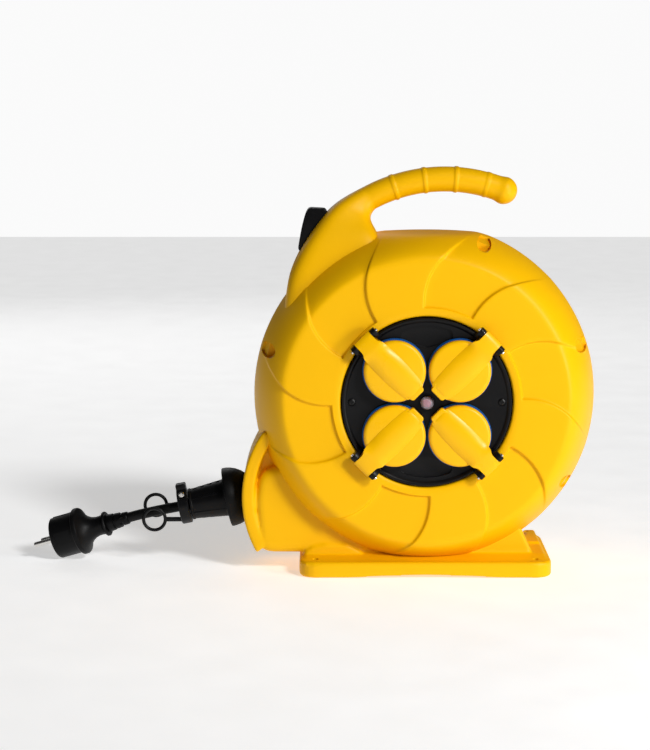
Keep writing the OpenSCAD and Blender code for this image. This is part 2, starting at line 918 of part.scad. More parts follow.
module lid_springs() {
    color(steel) to_axis() for (a = lid_angles)
        rotate([0, -a, 0]) translate([hinge_at, -hinge_f, spring_from]) difference() {
            cylinder(r = spring_r, h = barrel_w / 2 - spring_from - 0.2);
            translate([0, 0, -1]) cylinder(r = spring_r - 0.7, h = barrel_w);
        }
}

// ---------- Thermal cut-out ----------

module thermal_cutout() {
    color("#1a1a1a") to_axis() difference() {
        union() {
            translate([-cutout_w / 2, -plate_f, -cutout_h / 2]) cube([cutout_w, cutout_depth, cutout_h]);
            round_f(plate_f - 1, panel_f, neck_r);
        }
        round_f(plate_f - button_well, far, button_r + running);
    }
}

module button_boot() {
    inner_r = boot_r - boot_t;
    dome = function (r, h) [for (i = [0:6]) [r * cos(15 * i), panel_f + boot_h + h * sin(15 * i)]];
    color([0.9, 0.85, 0.9, 0.5]) to_axis() turned() polygon(concat(
        [[boot_r, panel_f]], dome(boot_r, 3.6), [for (i = [6:-1:0]) dome(inner_r, 2.7)[i]], [[inner_r, panel_f]]
    ));
}

module reset_button() {
    color("crimson") to_axis() round_f(plate_f - button_well + button_travel + 0.5, button_top, button_r);
}

// ---------- Crank ----------

module crank_arm() {
    color(black) to_axis() difference() {
        union() {
            round_f(-crank_back - crank_t, -crank_back, crank_hub_r);
            out_at(crank_angle, crank_len) round_f(-crank_back - crank_t, -crank_back, crank_end_r);
            rotate([0, -crank_angle, 0]) along_f(-crank_back - crank_t + 2, -crank_back - 0.5)
                polygon([[4, -14], [crank_len - 4, -9], [crank_len - 4, 9], [4, 14]]);
        }
        round_f(-crank_back - crank_t + crank_cap, far, shaft_r);
        round_f(-far, 0, crank_screw_r);
        out_at(crank_angle, crank_len) round_f(-far, far, knob_pin_r);
    }
}

module crank_screw() {
    top = crank_back + crank_t;
    color(steel) to_axis() {
        round_f(-top, -top + crank_cap, crank_screw_r);
        round_f(-top - crank_screw_head_h, -top, crank_screw_head_r);
    }
}

module knob_pin() {
    base = crank_back;
    top = base + crank_t + knob_gap + knob_len;
    color(steel) to_axis() out_at(crank_angle, crank_len) {
        round_f(-top - knob_gap, -base, knob_pin_r);
        round_f(-top - knob_gap - knob_head_t, -top - knob_gap, knob_pin_r + knob_head);
    }
}

module crank_knob() {
    base = crank_back + crank_t + knob_gap;
    color(black) to_axis() out_at(crank_angle, crank_len) turned() polygon([
        [knob_pin_r + running, -base], [knob_r - 2, -base], [knob_r - 1, -base - 2],
        [knob_r - 3, -base - knob_len * 0.35], [knob_r, -base - knob_len * 0.8],
        [knob_r - 2.5, -base - knob_len], [knob_pin_r + running, -base - knob_len]
    ]);
}

// ---------- Outlet, cord and plug ----------

module stop_ball() {
    color(black) at_ball() difference() {
        union() {
            intersection() {
                sphere(r = ball_r);
                translate([-far / 2, -far / 2, -far]) cube(far);
            }
            cylinder(r = ball_r, h = 1.5);
        }
        translate([0, 0, -far / 2]) cylinder(r = cord_r + cord_gap, h = far);
    }
}

module cord_sleeve() {
    color(black) at_ball() rotate_extrude($fn = 96) polygon([
        [cord_r + cord_gap, 1.5], [16.8, 1.5], [13, sleeve_len], [cord_r + cord_gap, sleeve_len]
    ]);
}

// Half of the split clamp on the cord, with its pull ring. side is -1 in front, +1 behind.
module clamp_half(side, ring_y, ring_z) {
    color(black) difference() {
        union() {
            at_ball() intersection() {
                union() {
                    translate([0, 0, clamp_start]) cylinder(r = clamp_r, h = clamp_w);
                    translate([0, -clamp_lug_w / 2, clamp_start]) cube([clamp_r + clamp_lug, clamp_lug_w, clamp_w]);
                }
                translate([-far / 2, side < 0 ? -far : 0, 0]) cube(far);
            }
            translate([ring_x, ring_y, ring_z]) rotate([90, 0, 0])
                rotate_extrude($fn = 48) translate([ring_mid_r, 0]) circle(r = ring_wire_r, $fn = 20);
            translate([ring_x + ring_mid_r, ring_y - ring_arm_t / 2, ring_z - ring_arm_h / 2])
                cube([ring_arm_len, ring_arm_t, ring_arm_h]);
        }
        at_ball() {
            translate([0, 0, clamp_start - 1]) cylinder(r = cord_r + cord_gap, h = clamp_w + 2);
            at_clamp_screw() {
                cylinder(r = clamp_screw_r + screw_gap, h = far, center = true);
                translate([0, 0, clamp_head_at]) cylinder(r = clamp_screw_head_r + screw_gap, h = far);
            }
        }
    }
}

module at_clamp_screw() {
    translate([clamp_r - 5, 0, clamp_start + clamp_w / 2]) rotate([90, 0, 0]) children();
}

module clamp_front() { clamp_half(-1, -8, 41); }
module clamp_back() { clamp_half(1, 11.5, 50); }

module clamp_screw() {
    color(steel) at_ball() at_clamp_screw() {
        translate([0, 0, -9]) cylinder(r = clamp_screw_r, h = 9 + clamp_head_at);
        translate([0, 0, clamp_head_at]) cylinder(r = clamp_screw_head_r, h = 2);
    }
}

module inner_cord() {
    color(black) sweep(inner_route, cord_r);
}

module cord() {
    color(black) sweep(cord_route, cord_r);
}

// Places children with Z along the plug, from the strain relief's mouth to the pins
module at_plug() {
    translate(plug_at) rotate([0, 0, -plug_yaw]) rotate([0, -90 - plug_tilt, 0]) children();
}

module plug_relief() {
    color(black) at_plug() rotate_extrude($fn = 64)
        polygon([[0, 0], [5.6, 0], [8, relief_len], [0, relief_len]]);
}

module plug_body() {
    z = relief_len;
    color(black) at_plug() rotate_extrude($fn = 96) polygon([
        [0, z], [11, z], [11, z + 2.5], [8.6, z + 9], [9.5, z + 14], [14, z + 20], [21, z + 24],
        [21, z + 28], [plug_r, z + 29], [plug_r, z + plug_len], [0, z + plug_len]
    ]);
}

module plug_pins() {
    color(steel) at_plug() for (s = [-1, 1])
        translate([0, s * pin_spacing / 2, relief_len + plug_len]) {
            cylinder(r = plug_pin_r, h = pin_len - 1);
            translate([0, 0, pin_len - 1]) cylinder(r1 = plug_pin_r, r2 = 1.6, h = 1);
        }
}

front_shell();
rear_shell();
housing_screws();
rear_bearing();
brake_lever();
brake_pad();
lever_pin();
lever_spring();
drum_front();
drum_rear();
drum_screws();
wound_cord();
drum_shaft();
socket_panel();
hinge_ears();
panel_screws();
socket_upper_right();
socket_upper_left();
socket_lower_left();
socket_lower_right();
earth_clips();
socket_contacts();
bus_bars();
lid_upper_right();
lid_upper_left();
lid_lower_left();
lid_lower_right();
seal_upper_right();
seal_upper_left();
seal_lower_left();
seal_lower_right();
lid_pins();
lid_springs();
thermal_cutout();
button_boot();
reset_button();
crank_arm();
crank_screw();
knob_pin();
crank_knob();
stop_ball();
cord_sleeve();
clamp_front();
clamp_back();
clamp_screw();
inner_cord();
cord();
plug_relief();
plug_body();
plug_pins();
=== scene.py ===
"""Looks of the extension cord reel: moulded yellow shells, the turning socket panel and the black rubber parts.

Pieces are modelled in millimetres and brought to metres by place(). "f" is a distance forwards from the
plane where the two shells meet, so it runs along -Y.
"""

import json
import math

import bpy
from mathutils import Matrix, Vector


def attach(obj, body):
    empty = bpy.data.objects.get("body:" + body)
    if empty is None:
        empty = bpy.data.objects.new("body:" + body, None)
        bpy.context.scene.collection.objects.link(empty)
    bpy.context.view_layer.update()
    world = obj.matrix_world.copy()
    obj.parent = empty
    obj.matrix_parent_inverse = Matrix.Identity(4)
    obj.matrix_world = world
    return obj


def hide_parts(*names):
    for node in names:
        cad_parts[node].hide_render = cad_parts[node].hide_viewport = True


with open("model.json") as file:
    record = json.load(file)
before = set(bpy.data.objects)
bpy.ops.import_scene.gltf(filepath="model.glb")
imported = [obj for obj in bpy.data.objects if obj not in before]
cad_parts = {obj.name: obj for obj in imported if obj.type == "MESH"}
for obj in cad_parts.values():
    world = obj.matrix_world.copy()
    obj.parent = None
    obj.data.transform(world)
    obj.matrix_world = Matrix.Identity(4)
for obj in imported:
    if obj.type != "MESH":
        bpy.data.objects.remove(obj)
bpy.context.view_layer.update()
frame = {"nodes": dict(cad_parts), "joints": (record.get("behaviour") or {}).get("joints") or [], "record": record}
nodes = frame["nodes"]
MM = 0.001


# ---------- Sizes ----------

def joint_place(name):
    """Where a joint is, in millimetres."""
    return Vector(next(j for j in frame["joints"] if j["name"] == name)["pos_m"]) / MM


AXIS = joint_place("drum_spin")
HALF_DEPTH = 62.5
FACE_R = 122
HOUSING_R = 149
FLAT_H = 141.5
WALL = 3
SIDE_F = 37.5
POCKET_R = 6.4
RIM_SCREWS = (19, 69.5, 163, 329)
POCKET_FROM = {-1: 27, 1: 12}
RIM_SCREW_AT = 142
PITCH = 39.174
WELL_R = 20.5
PANEL_R = 72.47
SOCKET_HOLE_R = 25.05
HINGE_AT = 75.974
HINGE_F = 71
PIN_SPACING = 19
LIDS = {"upper_right": 45, "upper_left": 135, "lower_left": 225, "lower_right": 315}
CRANK_ANGLE = 220
CRANK_LEN = 85
CORD_D = 9.1


# ---------- Frames that pieces are modelled in ----------

def shift(x, y, z):
    return Matrix.Translation((x, y, z))


def turn(angle, axis):
    return Matrix.Rotation(math.radians(angle), 4, axis)


# Local Z forwards on the drum's axis; local X and Y across and up
FORWARD = Matrix.Translation(AXIS) @ turn(90, "X")
# Outlines drawn in world X and Z, extruded along Y
LEVEL = turn(90, "X")
# Local Z along the cord where it leaves the outlet
OUTLET = shift(-172, 0, 59.5) @ turn(-101, "Y")
PLUG = shift(-261.2, 7.9, 39.4) @ turn(-12, "Z") @ turn(-107.5, "Y")
CRANK = FORWARD @ turn(CRANK_ANGLE, "Z")


def at_lid(angle):
    """Local Z forwards and local X out to the lid's hinge, on the drum's axis."""
    return FORWARD @ turn(angle, "Z")


# ---------- Mesh helpers ----------

def deselect():
    if bpy.context.object and bpy.context.object.mode != "OBJECT":
        bpy.ops.object.mode_set(mode="OBJECT")
    bpy.ops.object.select_all(action="DESELECT")


def choose(obj):
    deselect()
    obj.select_set(True)
    bpy.context.view_layer.objects.active = obj


def edit(obj):
    choose(obj)
    bpy.ops.object.mode_set(mode="EDIT")
    bpy.ops.mesh.select_all(action="SELECT")


def face_outwards():
    """Used in edit mode."""
    bpy.ops.mesh.select_all(action="SELECT")
    bpy.ops.mesh.remove_doubles(threshold=0.001)
    bpy.ops.mesh.normals_make_consistent(inside=False)
    bpy.ops.object.mode_set(mode="OBJECT")


def modify(obj, kind, **settings):
    """Adds a modifier and applies it."""
    choose(obj)
    modifier = obj.modifiers.new(kind.lower(), kind)
    for key, value in settings.items():
        setattr(modifier, key, value)
    bpy.ops.object.modifier_apply(modifier=modifier.name)
    return obj


def round_edges(obj, width, segments=3, angle=40):
    return modify(obj, "BEVEL", width=width, segments=segments, limit_method="ANGLE",
                  angle_limit=math.radians(angle), use_clamp_overlap=True)


def settle(obj, matrix):
    """Moves the mesh, so that the object stays at the origin."""
    obj.data.transform(matrix)
    if matrix.determinant() < 0:
        obj.data.flip_normals()
    obj.data.update()
    return obj


def smooth(obj, angle=35):
    choose(obj)
    bpy.ops.object.shade_smooth_by_angle(angle=math.radians(angle))
    return obj


def rounded(outline, radius, steps=3, closed=True):
    """The outline with its corners rounded. radius is one number, or one for each point."""
    count = len(outline)
    radii = radius if isinstance(radius, (list, tuple)) else [radius] * count
    result = []
    for i, point in enumerate(outline):
        here = Vector(point)
        if radii[i] <= 0 or (not closed and i in (0, count - 1)):
            result.append(tuple(here))
            continue
        back = Vector(outline[i - 1]) - here
        ahead = Vector(outline[(i + 1) % count]) - here
        start = here + back.normalized() * min(radii[i], back.length * 0.48)
        end = here + ahead.normalized() * min(radii[i], ahead.length * 0.48)
        for k in range(steps + 1):
            t = k / steps
            result.append(tuple(start * (1 - t) ** 2 + here * 2 * t * (1 - t) + end * t ** 2))
    return result


def outline_circle(name, points, fill):
    """A circle primitive whose vertices are set on an outline."""
    deselect()
    bpy.ops.mesh.primitive_circle_add(vertices=len(points), fill_type=fill)
    obj = bpy.context.object
    obj.name = name
    for vertex, point in zip(obj.data.vertices, points):
        vertex.co = point
    return obj


def lathe(name, profile, matrix=FORWARD, steps=96, radius=0, angle=35):
    """Spins a closed (radius, height) outline round local Z, with its corners rounded."""
    outline = rounded(profile, radius) if radius else profile
    obj = outline_circle(name, [(r, 0, h) for r, h in outline], "NOTHING")
    edit(obj)
    bpy.ops.mesh.spin(steps=steps, angle=2 * math.pi, center=(0, 0, 0), axis=(0, 0, 1))
    bpy.ops.mesh.select_all(action="SELECT")
    bpy.ops.mesh.remove_doubles(threshold=0.001)
    bpy.ops.mesh.delete_loose(use_verts=True, use_edges=True, use_faces=False)
    face_outwards()
    return settle(smooth(obj, angle), matrix)


def prism(name, outline, low, high, matrix=FORWARD, bevel=0.0, segments=3):
    """Extrudes an (x, y) outline from low to high along local Z, and rounds its edges."""
    obj = outline_circle(name, [(x, y, low) for x, y in outline], "NGON")
    edit(obj)
    bpy.ops.mesh.extrude_region_move(TRANSFORM_OT_translate={"value": (0, 0, high - low)})
    face_outwards()
    if bevel:
        round_edges(obj, bevel, segments)
    return settle(smooth(obj), matrix)


def block(name, low, high, matrix=FORWARD, bevel=0.0, segments=2):
    """A box from corner to corner, with rounded edges."""
    outline = [(low[0], low[1]), (high[0], low[1]), (high[0], high[1]), (low[0], high[1])]
    return prism(name, outline, low[2], high[2], matrix, bevel, segments)


def rod(name, start, end, radius, sides=32, bevel=0.0, matrix=Matrix.Identity(4)):
    """A cylinder from start to end."""
    start = Vector(start)
    end = Vector(end)
    deselect()
    bpy.ops.mesh.primitive_cylinder_add(vertices=sides, radius=radius, depth=(end - start).length)
    obj = bpy.context.object
    obj.name = name
    if bevel:
        round_edges(obj, bevel)
    lean = (end - start).to_track_quat("Z", "Y").to_matrix().to_4x4()
    return settle(smooth(obj), matrix @ Matrix.Translation((start + end) / 2) @ lean)


def grid_mesh(name, rows, ring=True, loop=False):
    """A mesh through rows of points. ring closes each row, and loop joins the last row to the first."""
    width = len(rows[0])
    faces = []
    for i in range(len(rows) if loop else len(rows) - 1):
        nxt = (i + 1) % len(rows)
        for k in range(width if ring else width - 1):
            m = (k + 1) % width
            faces.append((i * width + k, i * width + m, nxt * width + m, nxt * width + k))
    if ring and not loop:
        faces.append(tuple(range(width - 1, -1, -1)))
        faces.append(tuple((len(rows) - 1) * width + k for k in range(width)))
    mesh = bpy.data.meshes.new(name)
    mesh.from_pydata([tuple(p) for row in rows for p in row], [], faces)
    obj = bpy.data.objects.new(name, mesh)
    bpy.context.scene.collection.objects.link(obj)
    edit(obj)
    face_outwards()
    return obj


def cut(obj, *cutters):
    for cutter in cutters:
        modify(obj, "BOOLEAN", operation="DIFFERENCE", object=cutter, solver="EXACT")
        bpy.data.objects.remove(cutter)
    return obj


def within(obj, form):
    """Keep only what lies inside form."""
    modify(obj, "BOOLEAN", operation="INTERSECT", object=form, solver="EXACT")
    discard(form)
    return obj


def unite(obj, *others):
    for other in others:
        modify(obj, "BOOLEAN", operation="UNION", object=other, solver="EXACT")
        bpy.data.objects.remove(other)
    return obj


def join(name, *parts):
    choose(parts[0])
    for part in parts[1:]:
        part.select_set(True)
    if len(parts) > 1:
        bpy.ops.object.join()
    parts[0].name = name
    parts[0].data.name = name
    return parts[0]


def twin(obj, name, matrix=Matrix.Identity(4)):
    """A copy with its own mesh, moved."""
    copy = bpy.data.objects.new(name, obj.data.copy())
    copy.data.name = name
    bpy.context.scene.collection.objects.link(copy)
    return settle(copy, matrix)


def discard(*objs):
    for obj in objs:
        bpy.data.objects.remove(obj)


def keep_half(obj, normal, gap=0.12):
    """Cuts the mesh by a plane near the origin and keeps the half that the normal points to."""
    edit(obj)
    bpy.ops.mesh.bisect(plane_co=Vector(normal) * gap, plane_no=normal, use_fill=True,
                        clear_inner=True, clear_outer=False)
    face_outwards()
    return obj


def place(piece, body, material, slot, *replaced):
    """Brings a piece to metres, gives it its material and its body, and hides the nodes that it stands for."""
    piece.data.transform(Matrix.Scale(MM, 4))
    piece.data.update()
    piece.data.materials.clear()
    piece.data.materials.append(material)
    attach(piece, body)
    if replaced:
        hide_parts(*replaced)
    return piece


def mix(a, b, t):
    return a + (b - a) * t


def ease(low, high, x):
    """0 below low, 1 above high and smooth between them."""
    t = min(1.0, max(0.0, (x - low) / (high - low)))
    return t * t * (3 - 2 * t)


# ---------- Camera and light ----------

def make_camera():
    aim = Vector((-0.0868, 0, 0.168))
    tilt = math.radians(7.5)
    distance = 2.06
    width_seen = 0.570
    data = bpy.data.cameras.new("camera")
    camera = bpy.data.objects.new("camera", data)
    bpy.context.scene.collection.objects.link(camera)
    camera.location = aim + distance * Vector((0, -math.cos(tilt), math.sin(tilt)))
    camera.rotation_euler = (aim - camera.location).to_track_quat("-Z", "Y").to_euler()
    data.sensor_fit = "HORIZONTAL"
    data.lens = data.sensor_width * distance / width_seen
    bpy.context.scene.camera = camera


def area_light(name, at, size, power, aim=(0, 0, 0.16)):
    data = bpy.data.lights.new(name, "AREA")
    data.shape = "DISK"
    data.size = size
    data.energy = power
    lamp = bpy.data.objects.new(name, data)
    bpy.context.scene.collection.objects.link(lamp)
    lamp.location = at
    lamp.rotation_euler = (Vector(aim) - Vector(at)).to_track_quat("-Z", "Y").to_euler()


def sun_light(name, towards, power, spread):
    """A soft light from far away, in the direction given from the object towards it."""
    data = bpy.data.lights.new(name, "SUN")
    data.energy = power
    data.angle = math.radians(spread)
    lamp = bpy.data.objects.new(name, data)
    bpy.context.scene.collection.objects.link(lamp)
    lamp.rotation_euler = Vector(towards).to_track_quat("Z", "Y").to_euler()


def studio_world(shown, lighting):
    """A white backdrop that lights the scene less than it shows."""
    world = bpy.data.worlds.new("studio")
    world.use_nodes = True
    tree = world.node_tree
    backdrop = tree.nodes["Background"]
    soft = tree.nodes.new("ShaderNodeBackground")
    for node, strength in ((backdrop, shown), (soft, lighting)):
        node.inputs["Color"].default_value = (1, 1, 1, 1)
        node.inputs["Strength"].default_value = strength
    path = tree.nodes.new("ShaderNodeLightPath")
    choice = tree.nodes.new("ShaderNodeMixShader")
    tree.links.new(path.outputs["Is Camera Ray"], choice.inputs[0])
    tree.links.new(soft.outputs[0], choice.inputs[1])
    tree.links.new(backdrop.outputs[0], choice.inputs[2])
    tree.links.new(choice.outputs[0], tree.nodes["World Output"].inputs["Surface"])
    bpy.context.scene.world = world


def make_studio():
    bpy.context.scene.view_settings.view_transform = "Standard"
    sun_light("key", (0.5, -0.66, 0.5), 1.85, 11)
    area_light("side", (0.75, -0.65, 0.3), 0.3, 4)
    area_light("back", (-0.6, 1.8, 1.2), 1.4, 5)
    studio_world(0.96, 0.05)
    deselect()
    bpy.ops.mesh.primitive_plane_add(size=8)
    floor = bpy.context.object
    floor.name = "floor"
    paint = surface("floor_paint", (0.93, 0.93, 0.93), 0.8, grain=0.0)
    shader = paint.node_tree.nodes["Principled BSDF"]
    shader.inputs["Emission Color"].default_value = (1, 1, 1, 1)
    shader.inputs["Emission Strength"].default_value = 0.45
    floor.data.materials.append(paint)


# ---------- Materials ----------

def moulding_group():
    """Slow mottling and fine grain, shared by all the surfaces."""
    group = bpy.data.node_groups.new("moulded_surface", "ShaderNodeTree")
    for socket in ("Mottle Scale", "Grain Scale"):
        group.interface.new_socket(socket, in_out="INPUT", socket_type="NodeSocketFloat")
    for socket in ("Mottle", "Grain"):
        group.interface.new_socket(socket, in_out="OUTPUT", socket_type="NodeSocketFloat")
    entry = group.nodes.new("NodeGroupInput")
    leave = group.nodes.new("NodeGroupOutput")
    where = group.nodes.new("ShaderNodeTexCoord")
    for socket, out, detail in (("Mottle Scale", "Mottle", 5), ("Grain Scale", "Grain", 2)):
        noise = group.nodes.new("ShaderNodeTexNoise")
        noise.inputs["Detail"].default_value = detail
        group.links.new(where.outputs["Object"], noise.inputs["Vector"])
        group.links.new(entry.outputs[socket], noise.inputs["Scale"])
        group.links.new(noise.outputs["Fac"], leave.inputs[out])
    return group


MOULDED = moulding_group()


def surface(name, colour, roughness, spread=0.08, shade=0.12, grain=0.03, grain_scale=900.0,
            mottle_scale=18.0, metallic=0.0, shine=0.5):
    """A material with mottled colour and roughness, and a fine grain in the bump."""
    material = bpy.data.materials.new(name)
    material.use_nodes = True
    tree = material.node_tree
    shader = tree.nodes["Principled BSDF"]
    shader.inputs["Metallic"].default_value = metallic
    shader.inputs["Specular IOR Level"].default_value = shine
    group = tree.nodes.new("ShaderNodeGroup")
    group.node_tree = MOULDED
    group.inputs["Mottle Scale"].default_value = mottle_scale
    group.inputs["Grain Scale"].default_value = grain_scale
    tones = tree.nodes.new("ShaderNodeMix")
    tones.data_type = "RGBA"
    tones.inputs["A"].default_value = (*[c * (1 - shade) for c in colour], 1)
    tones.inputs["B"].default_value = (*[min(1, c * (1 + shade * 0.4)) for c in colour], 1)
    tree.links.new(group.outputs["Mottle"], tones.inputs["Factor"])
    tree.links.new(tones.outputs["Result"], shader.inputs["Base Color"])
    rough = tree.nodes.new("ShaderNodeMapRange")
    rough.inputs["From Min"].default_value = 0.3
    rough.inputs["From Max"].default_value = 0.7
    rough.inputs["To Min"].default_value = roughness - spread
    rough.inputs["To Max"].default_value = roughness + spread
    tree.links.new(group.outputs["Mottle"], rough.inputs["Value"])
    tree.links.new(rough.outputs["Result"], shader.inputs["Roughness"])
    if grain:
        bump = tree.nodes.new("ShaderNodeBump")
        bump.inputs["Strength"].default_value = grain
        bump.inputs["Distance"].default_value = 0.0004
        tree.links.new(group.outputs["Grain"], bump.inputs["Height"])
        tree.links.new(bump.outputs["Normal"], shader.inputs["Normal"])
    return material


def clear_rubber():
    material = surface("clear_boot", (0.86, 0.80, 0.90), 0.25, grain=0.0)
    shader = material.node_tree.nodes["Principled BSDF"]
    shader.inputs["Transmission Weight"].default_value = 0.8
    shader.inputs["IOR"].default_value = 1.3
    return material


make_camera()

YELLOW = surface("yellow_shell", (0.92, 0.49, 0.0), 0.42, spread=0.05, shade=0.05, grain=0.12,
                 grain_scale=1400, mottle_scale=9, shine=0.15)
YELLOW_LID = surface("yellow_lid", (0.93, 0.50, 0.0), 0.30, spread=0.05, shade=0.04, grain=0.05,
                     grain_scale=1600, shine=0.25)
BLACK = surface("black_panel", (0.004, 0.004, 0.0045), 0.36, spread=0.10, shade=0.25, grain=0.15,
                grain_scale=1200, shine=0.18)
DRUM = surface("dark_drum", (0.03, 0.03, 0.033), 0.5, grain=0.15, shine=0.2)
RUBBER = surface("black_rubber", (0.003, 0.003, 0.0033), 0.42, spread=0.10, shade=0.3, grain=0.25,
                 grain_scale=1500, shine=0.14)
CORD = surface("cord_rubber", (0.0035, 0.0035, 0.0035), 0.50, spread=0.06, shade=0.3, grain=0.3,
               grain_scale=2500, shine=0.14)
BLUE = surface("blue_socket", (0.0, 0.085, 0.33), 0.35, grain=0.05, shine=0.4)
RED = surface("red_button", (0.80, 0.10, 0.14), 0.35, grain=0.03)
WHITE = surface("bearing_plastic", (0.8, 0.8, 0.76), 0.4)
ZINC = surface("zinc_steel", (0.6, 0.6, 0.59), 0.32, metallic=1.0, grain=0.06)
DARK_STEEL = surface("black_steel", (0.03, 0.03, 0.03), 0.4, metallic=1.0, grain=0.06)
NICKEL = surface("nickel_steel", (0.72, 0.70, 0.67), 0.22, metallic=1.0, grain=0.03)
BRASS = surface("contact_brass", (0.75, 0.52, 0.2), 0.3, metallic=1.0, grain=0.03)
CLEAR = clear_rubber()

make_studio()


# ---------- Cord ----------

CORD_ROUTE = [
    (-201.4, 0, 53.8), (-205.7, 0, 53), (-210, 0.1, 52.1), (-214.3, 0.3, 51.2), (-218.6, 0.6, 50.3),
    (-222.9, 1, 49.4), (-227.2, 1.5, 48.5), (-231.5, 2.1, 47.5), (-235.8, 2.8, 46.5), (-240.1, 3.6, 45.4),
    (-244.4, 4.4, 44.3), (-248.7, 5.3, 43.2), (-252.9, 6.2, 42), (-257.1, 7.1, 40.7), (-261.2, 7.9, 39.4)
]


def cord():
    data = bpy.data.curves.new("cord_sheath", "CURVE")
    data.dimensions = "3D"
    data.bevel_depth = CORD_D / 2 * MM
    data.bevel_resolution = 6
    data.resolution_u = 4
    data.use_fill_caps = True
    line = data.splines.new("NURBS")
    line.points.add(len(CORD_ROUTE) - 1)
    for point, place_mm in zip(line.points, CORD_ROUTE):
        point.co = (*[c * MM for c in place_mm], 1)
    line.use_endpoint_u = True
    line.order_u = 3
    obj = bpy.data.objects.new("cord_sheath", data)
    bpy.context.scene.collection.objects.link(obj)
    data.materials.append(CORD)
    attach(obj, "housing")
    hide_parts("cord")
    return obj


# ---------- Drum housing ----------

SWEEP = -13.2
BLADE_IN = 81
BLADE_OUT = 137
SINK = 2.7
BARREL_POWER = 1.25


def barrel_point(angle, skin):
    """A point (r, f) of the rounded shoulder, from the joint plane (0) to the flat face (90 degrees)."""
    a = math.radians(angle)
    r = FACE_R - skin + (HOUSING_R - FACE_R) * abs(math.cos(a)) ** BARREL_POWER
    return r, (HALF_DEPTH - skin) * math.sin(a) ** BARREL_POWER


def flattened(height, limit, softness=3):
    """height, limited smoothly to the flat on top of the housing."""
    near = max(softness - abs(height - limit), 0) / softness
    return min(height, limit) - near * near * softness / 4


def dish_angles():
    """(angle, sunk) pairs round the housing, close together at the edges of the sunk blades."""
    marks = []
    for i in range(12):
        base = 2 + 30 * i
        sunk = 1 - i % 2
        marks += [(base - 0.8, 1 - sunk), (base - 0.2, 1 - sunk), (base + 0.2, sunk), (base + 0.8, sunk)]
        marks += [(base + d, sunk) for d in (4.5, 9, 13.5, 18, 22.5, 26)]
    return marks


def barrel_outline(skin):
    """The housing's form as an outline to turn, skin inside its outer surface."""
    half = [barrel_point(a, skin) for a in range(0, 91, 6)]
    return [(0, -HALF_DEPTH + skin)] + [(r, -f) for r, f in reversed(half[1:])] + half + [(0, HALF_DEPTH
                                                                                           - skin)]


def rim_rods(name, side, start, end, radius):
    """A rod at each screw round the rim, from start to end in front of (-1) or behind (1) the joint plane."""
    rods = []
    for angle in RIM_SCREWS:
        a = math.radians(angle)
        at = AXIS + RIM_SCREW_AT * Vector((math.cos(a), 0, math.sin(a)))
        rods.append(rod(name, at + Vector((0, side * start, 0)), at + Vector((0, side * end, 0)), radius))
    return rods


def dish(name, side, lip):
    """One dished half of the housing. lip runs from the shell's inside round the edge of the opening."""
    profile = [(r, f, 0.0, 0.0, False) for r, f in lip]
    for r in (80.3, 80.9):
        profile.append((r, HALF_DEPTH, 0, 1, False))
    for r in (81.5, 82.2, 84.5, 88.5, 93, 98, 103, 108, 113, 117.5, 120.5):
        profile.append((r, HALF_DEPTH, 0, 1, True))
    for angle in (84, 77, 70, 63, 56, 49, 42, 35, 28, 21, 14, 8, 3.5):
        r, f = barrel_point(angle, 0)
        r2, f2 = barrel_point(angle + 0.5, 0)
        normal = Vector((f2 - f, r - r2)).normalized()
        profile.append((r, f, abs(normal.x), abs(normal.y), True))
    outer = len(profile)
    profile += [(HOUSING_R - 0.05, 0.9, 0, 0, False), (HOUSING_R - 0.5, 0.2, 0, 0, False),
                (HOUSING_R - 1.4, 0.12, 0, 0, False), (HOUSING_R - WALL, 0.12, 0, 0, False)]
    profile += [(*barrel_point(angle, WALL), 0, 0, False) for angle in range(8, 81, 6)]
    profile += [(r, HALF_DEPTH - WALL, 0, 0, False) for r in (112, 98, 90)]
    rows = []
    for i, (r, f, normal_r, normal_f, bladed) in enumerate(profile):
        t = max(0.0, (r - BLADE_IN) / (BLADE_OUT - BLADE_IN))
        fade = 1 - ease(122, 147, r)
        limit = FLAT_H if i < outer + 3 else FLAT_H - WALL
        row = []
        for angle, sunk in dish_angles():
            a = math.radians(angle + SWEEP * t * t)
            depth = SINK * fade * sunk if bladed else 0.0
            r2 = r - depth * normal_r
            row.append((r2 * math.cos(a), side * (f - depth * normal_f), AXIS.z
                        + flattened(r2 * math.sin(a), limit)))
        rows.append(row)
    obj = grid_mesh(name, rows, loop=True)
    modify(obj, "SUBSURF", levels=1, render_levels=1)
    cut(obj, *rim_rods("pocket", side, 13, 70, POCKET_R))
    bosses = join("bosses", *rim_rods("boss", side, 0.3, 60, POCKET_R + 2))
    within(bosses, lathe("barrel_form", barrel_outline(2.2), steps=96))
    cut(bosses, *rim_rods("pocket", side, POCKET_FROM[side], 70, POCKET_R))
    return join(name, obj, bosses)


FRONT_LIP = [(84, 59.5), (77, 57), (74.2, 56.6), (73.4, 57.0), (73.3, 58.2), (73.5, 59.2), (73.8, 60.5),
             (74.5, 61.4), (75.8, 62), (78, 62.4)]
REAR_LIP = [(60, 59.5), (30, 59.5), (17.2, 59.4), (16.2, 59.9), (16.1, 61), (16.4, 62.2), (17.5, 62.5),
            (21, 62.5), (24, 62.5), (25, 62.3), (26, 61.2), (27.5, 60.9), (40, 60.9), (58, 60.9),
            (68, 60.9), (70, 61.1), (71.2, 62.2), (72.5, 62.5), (76, 62.5)]


# ---------- Handle ----------

GRIP_CENTRE = Vector((17, 0, AXIS.z + 48.6))
GRIP_ARC = 138.4
GRIP_R = 10.9
BALL_END_R = 12.2
GRIP_RINGS = [74.8 + 11.2 * k for k in range(4)]


def on_grip(angle, r):
    a = math.radians(angle)
    return GRIP_CENTRE + Vector((math.cos(a), 0, math.sin(a))) * (GRIP_ARC + r)


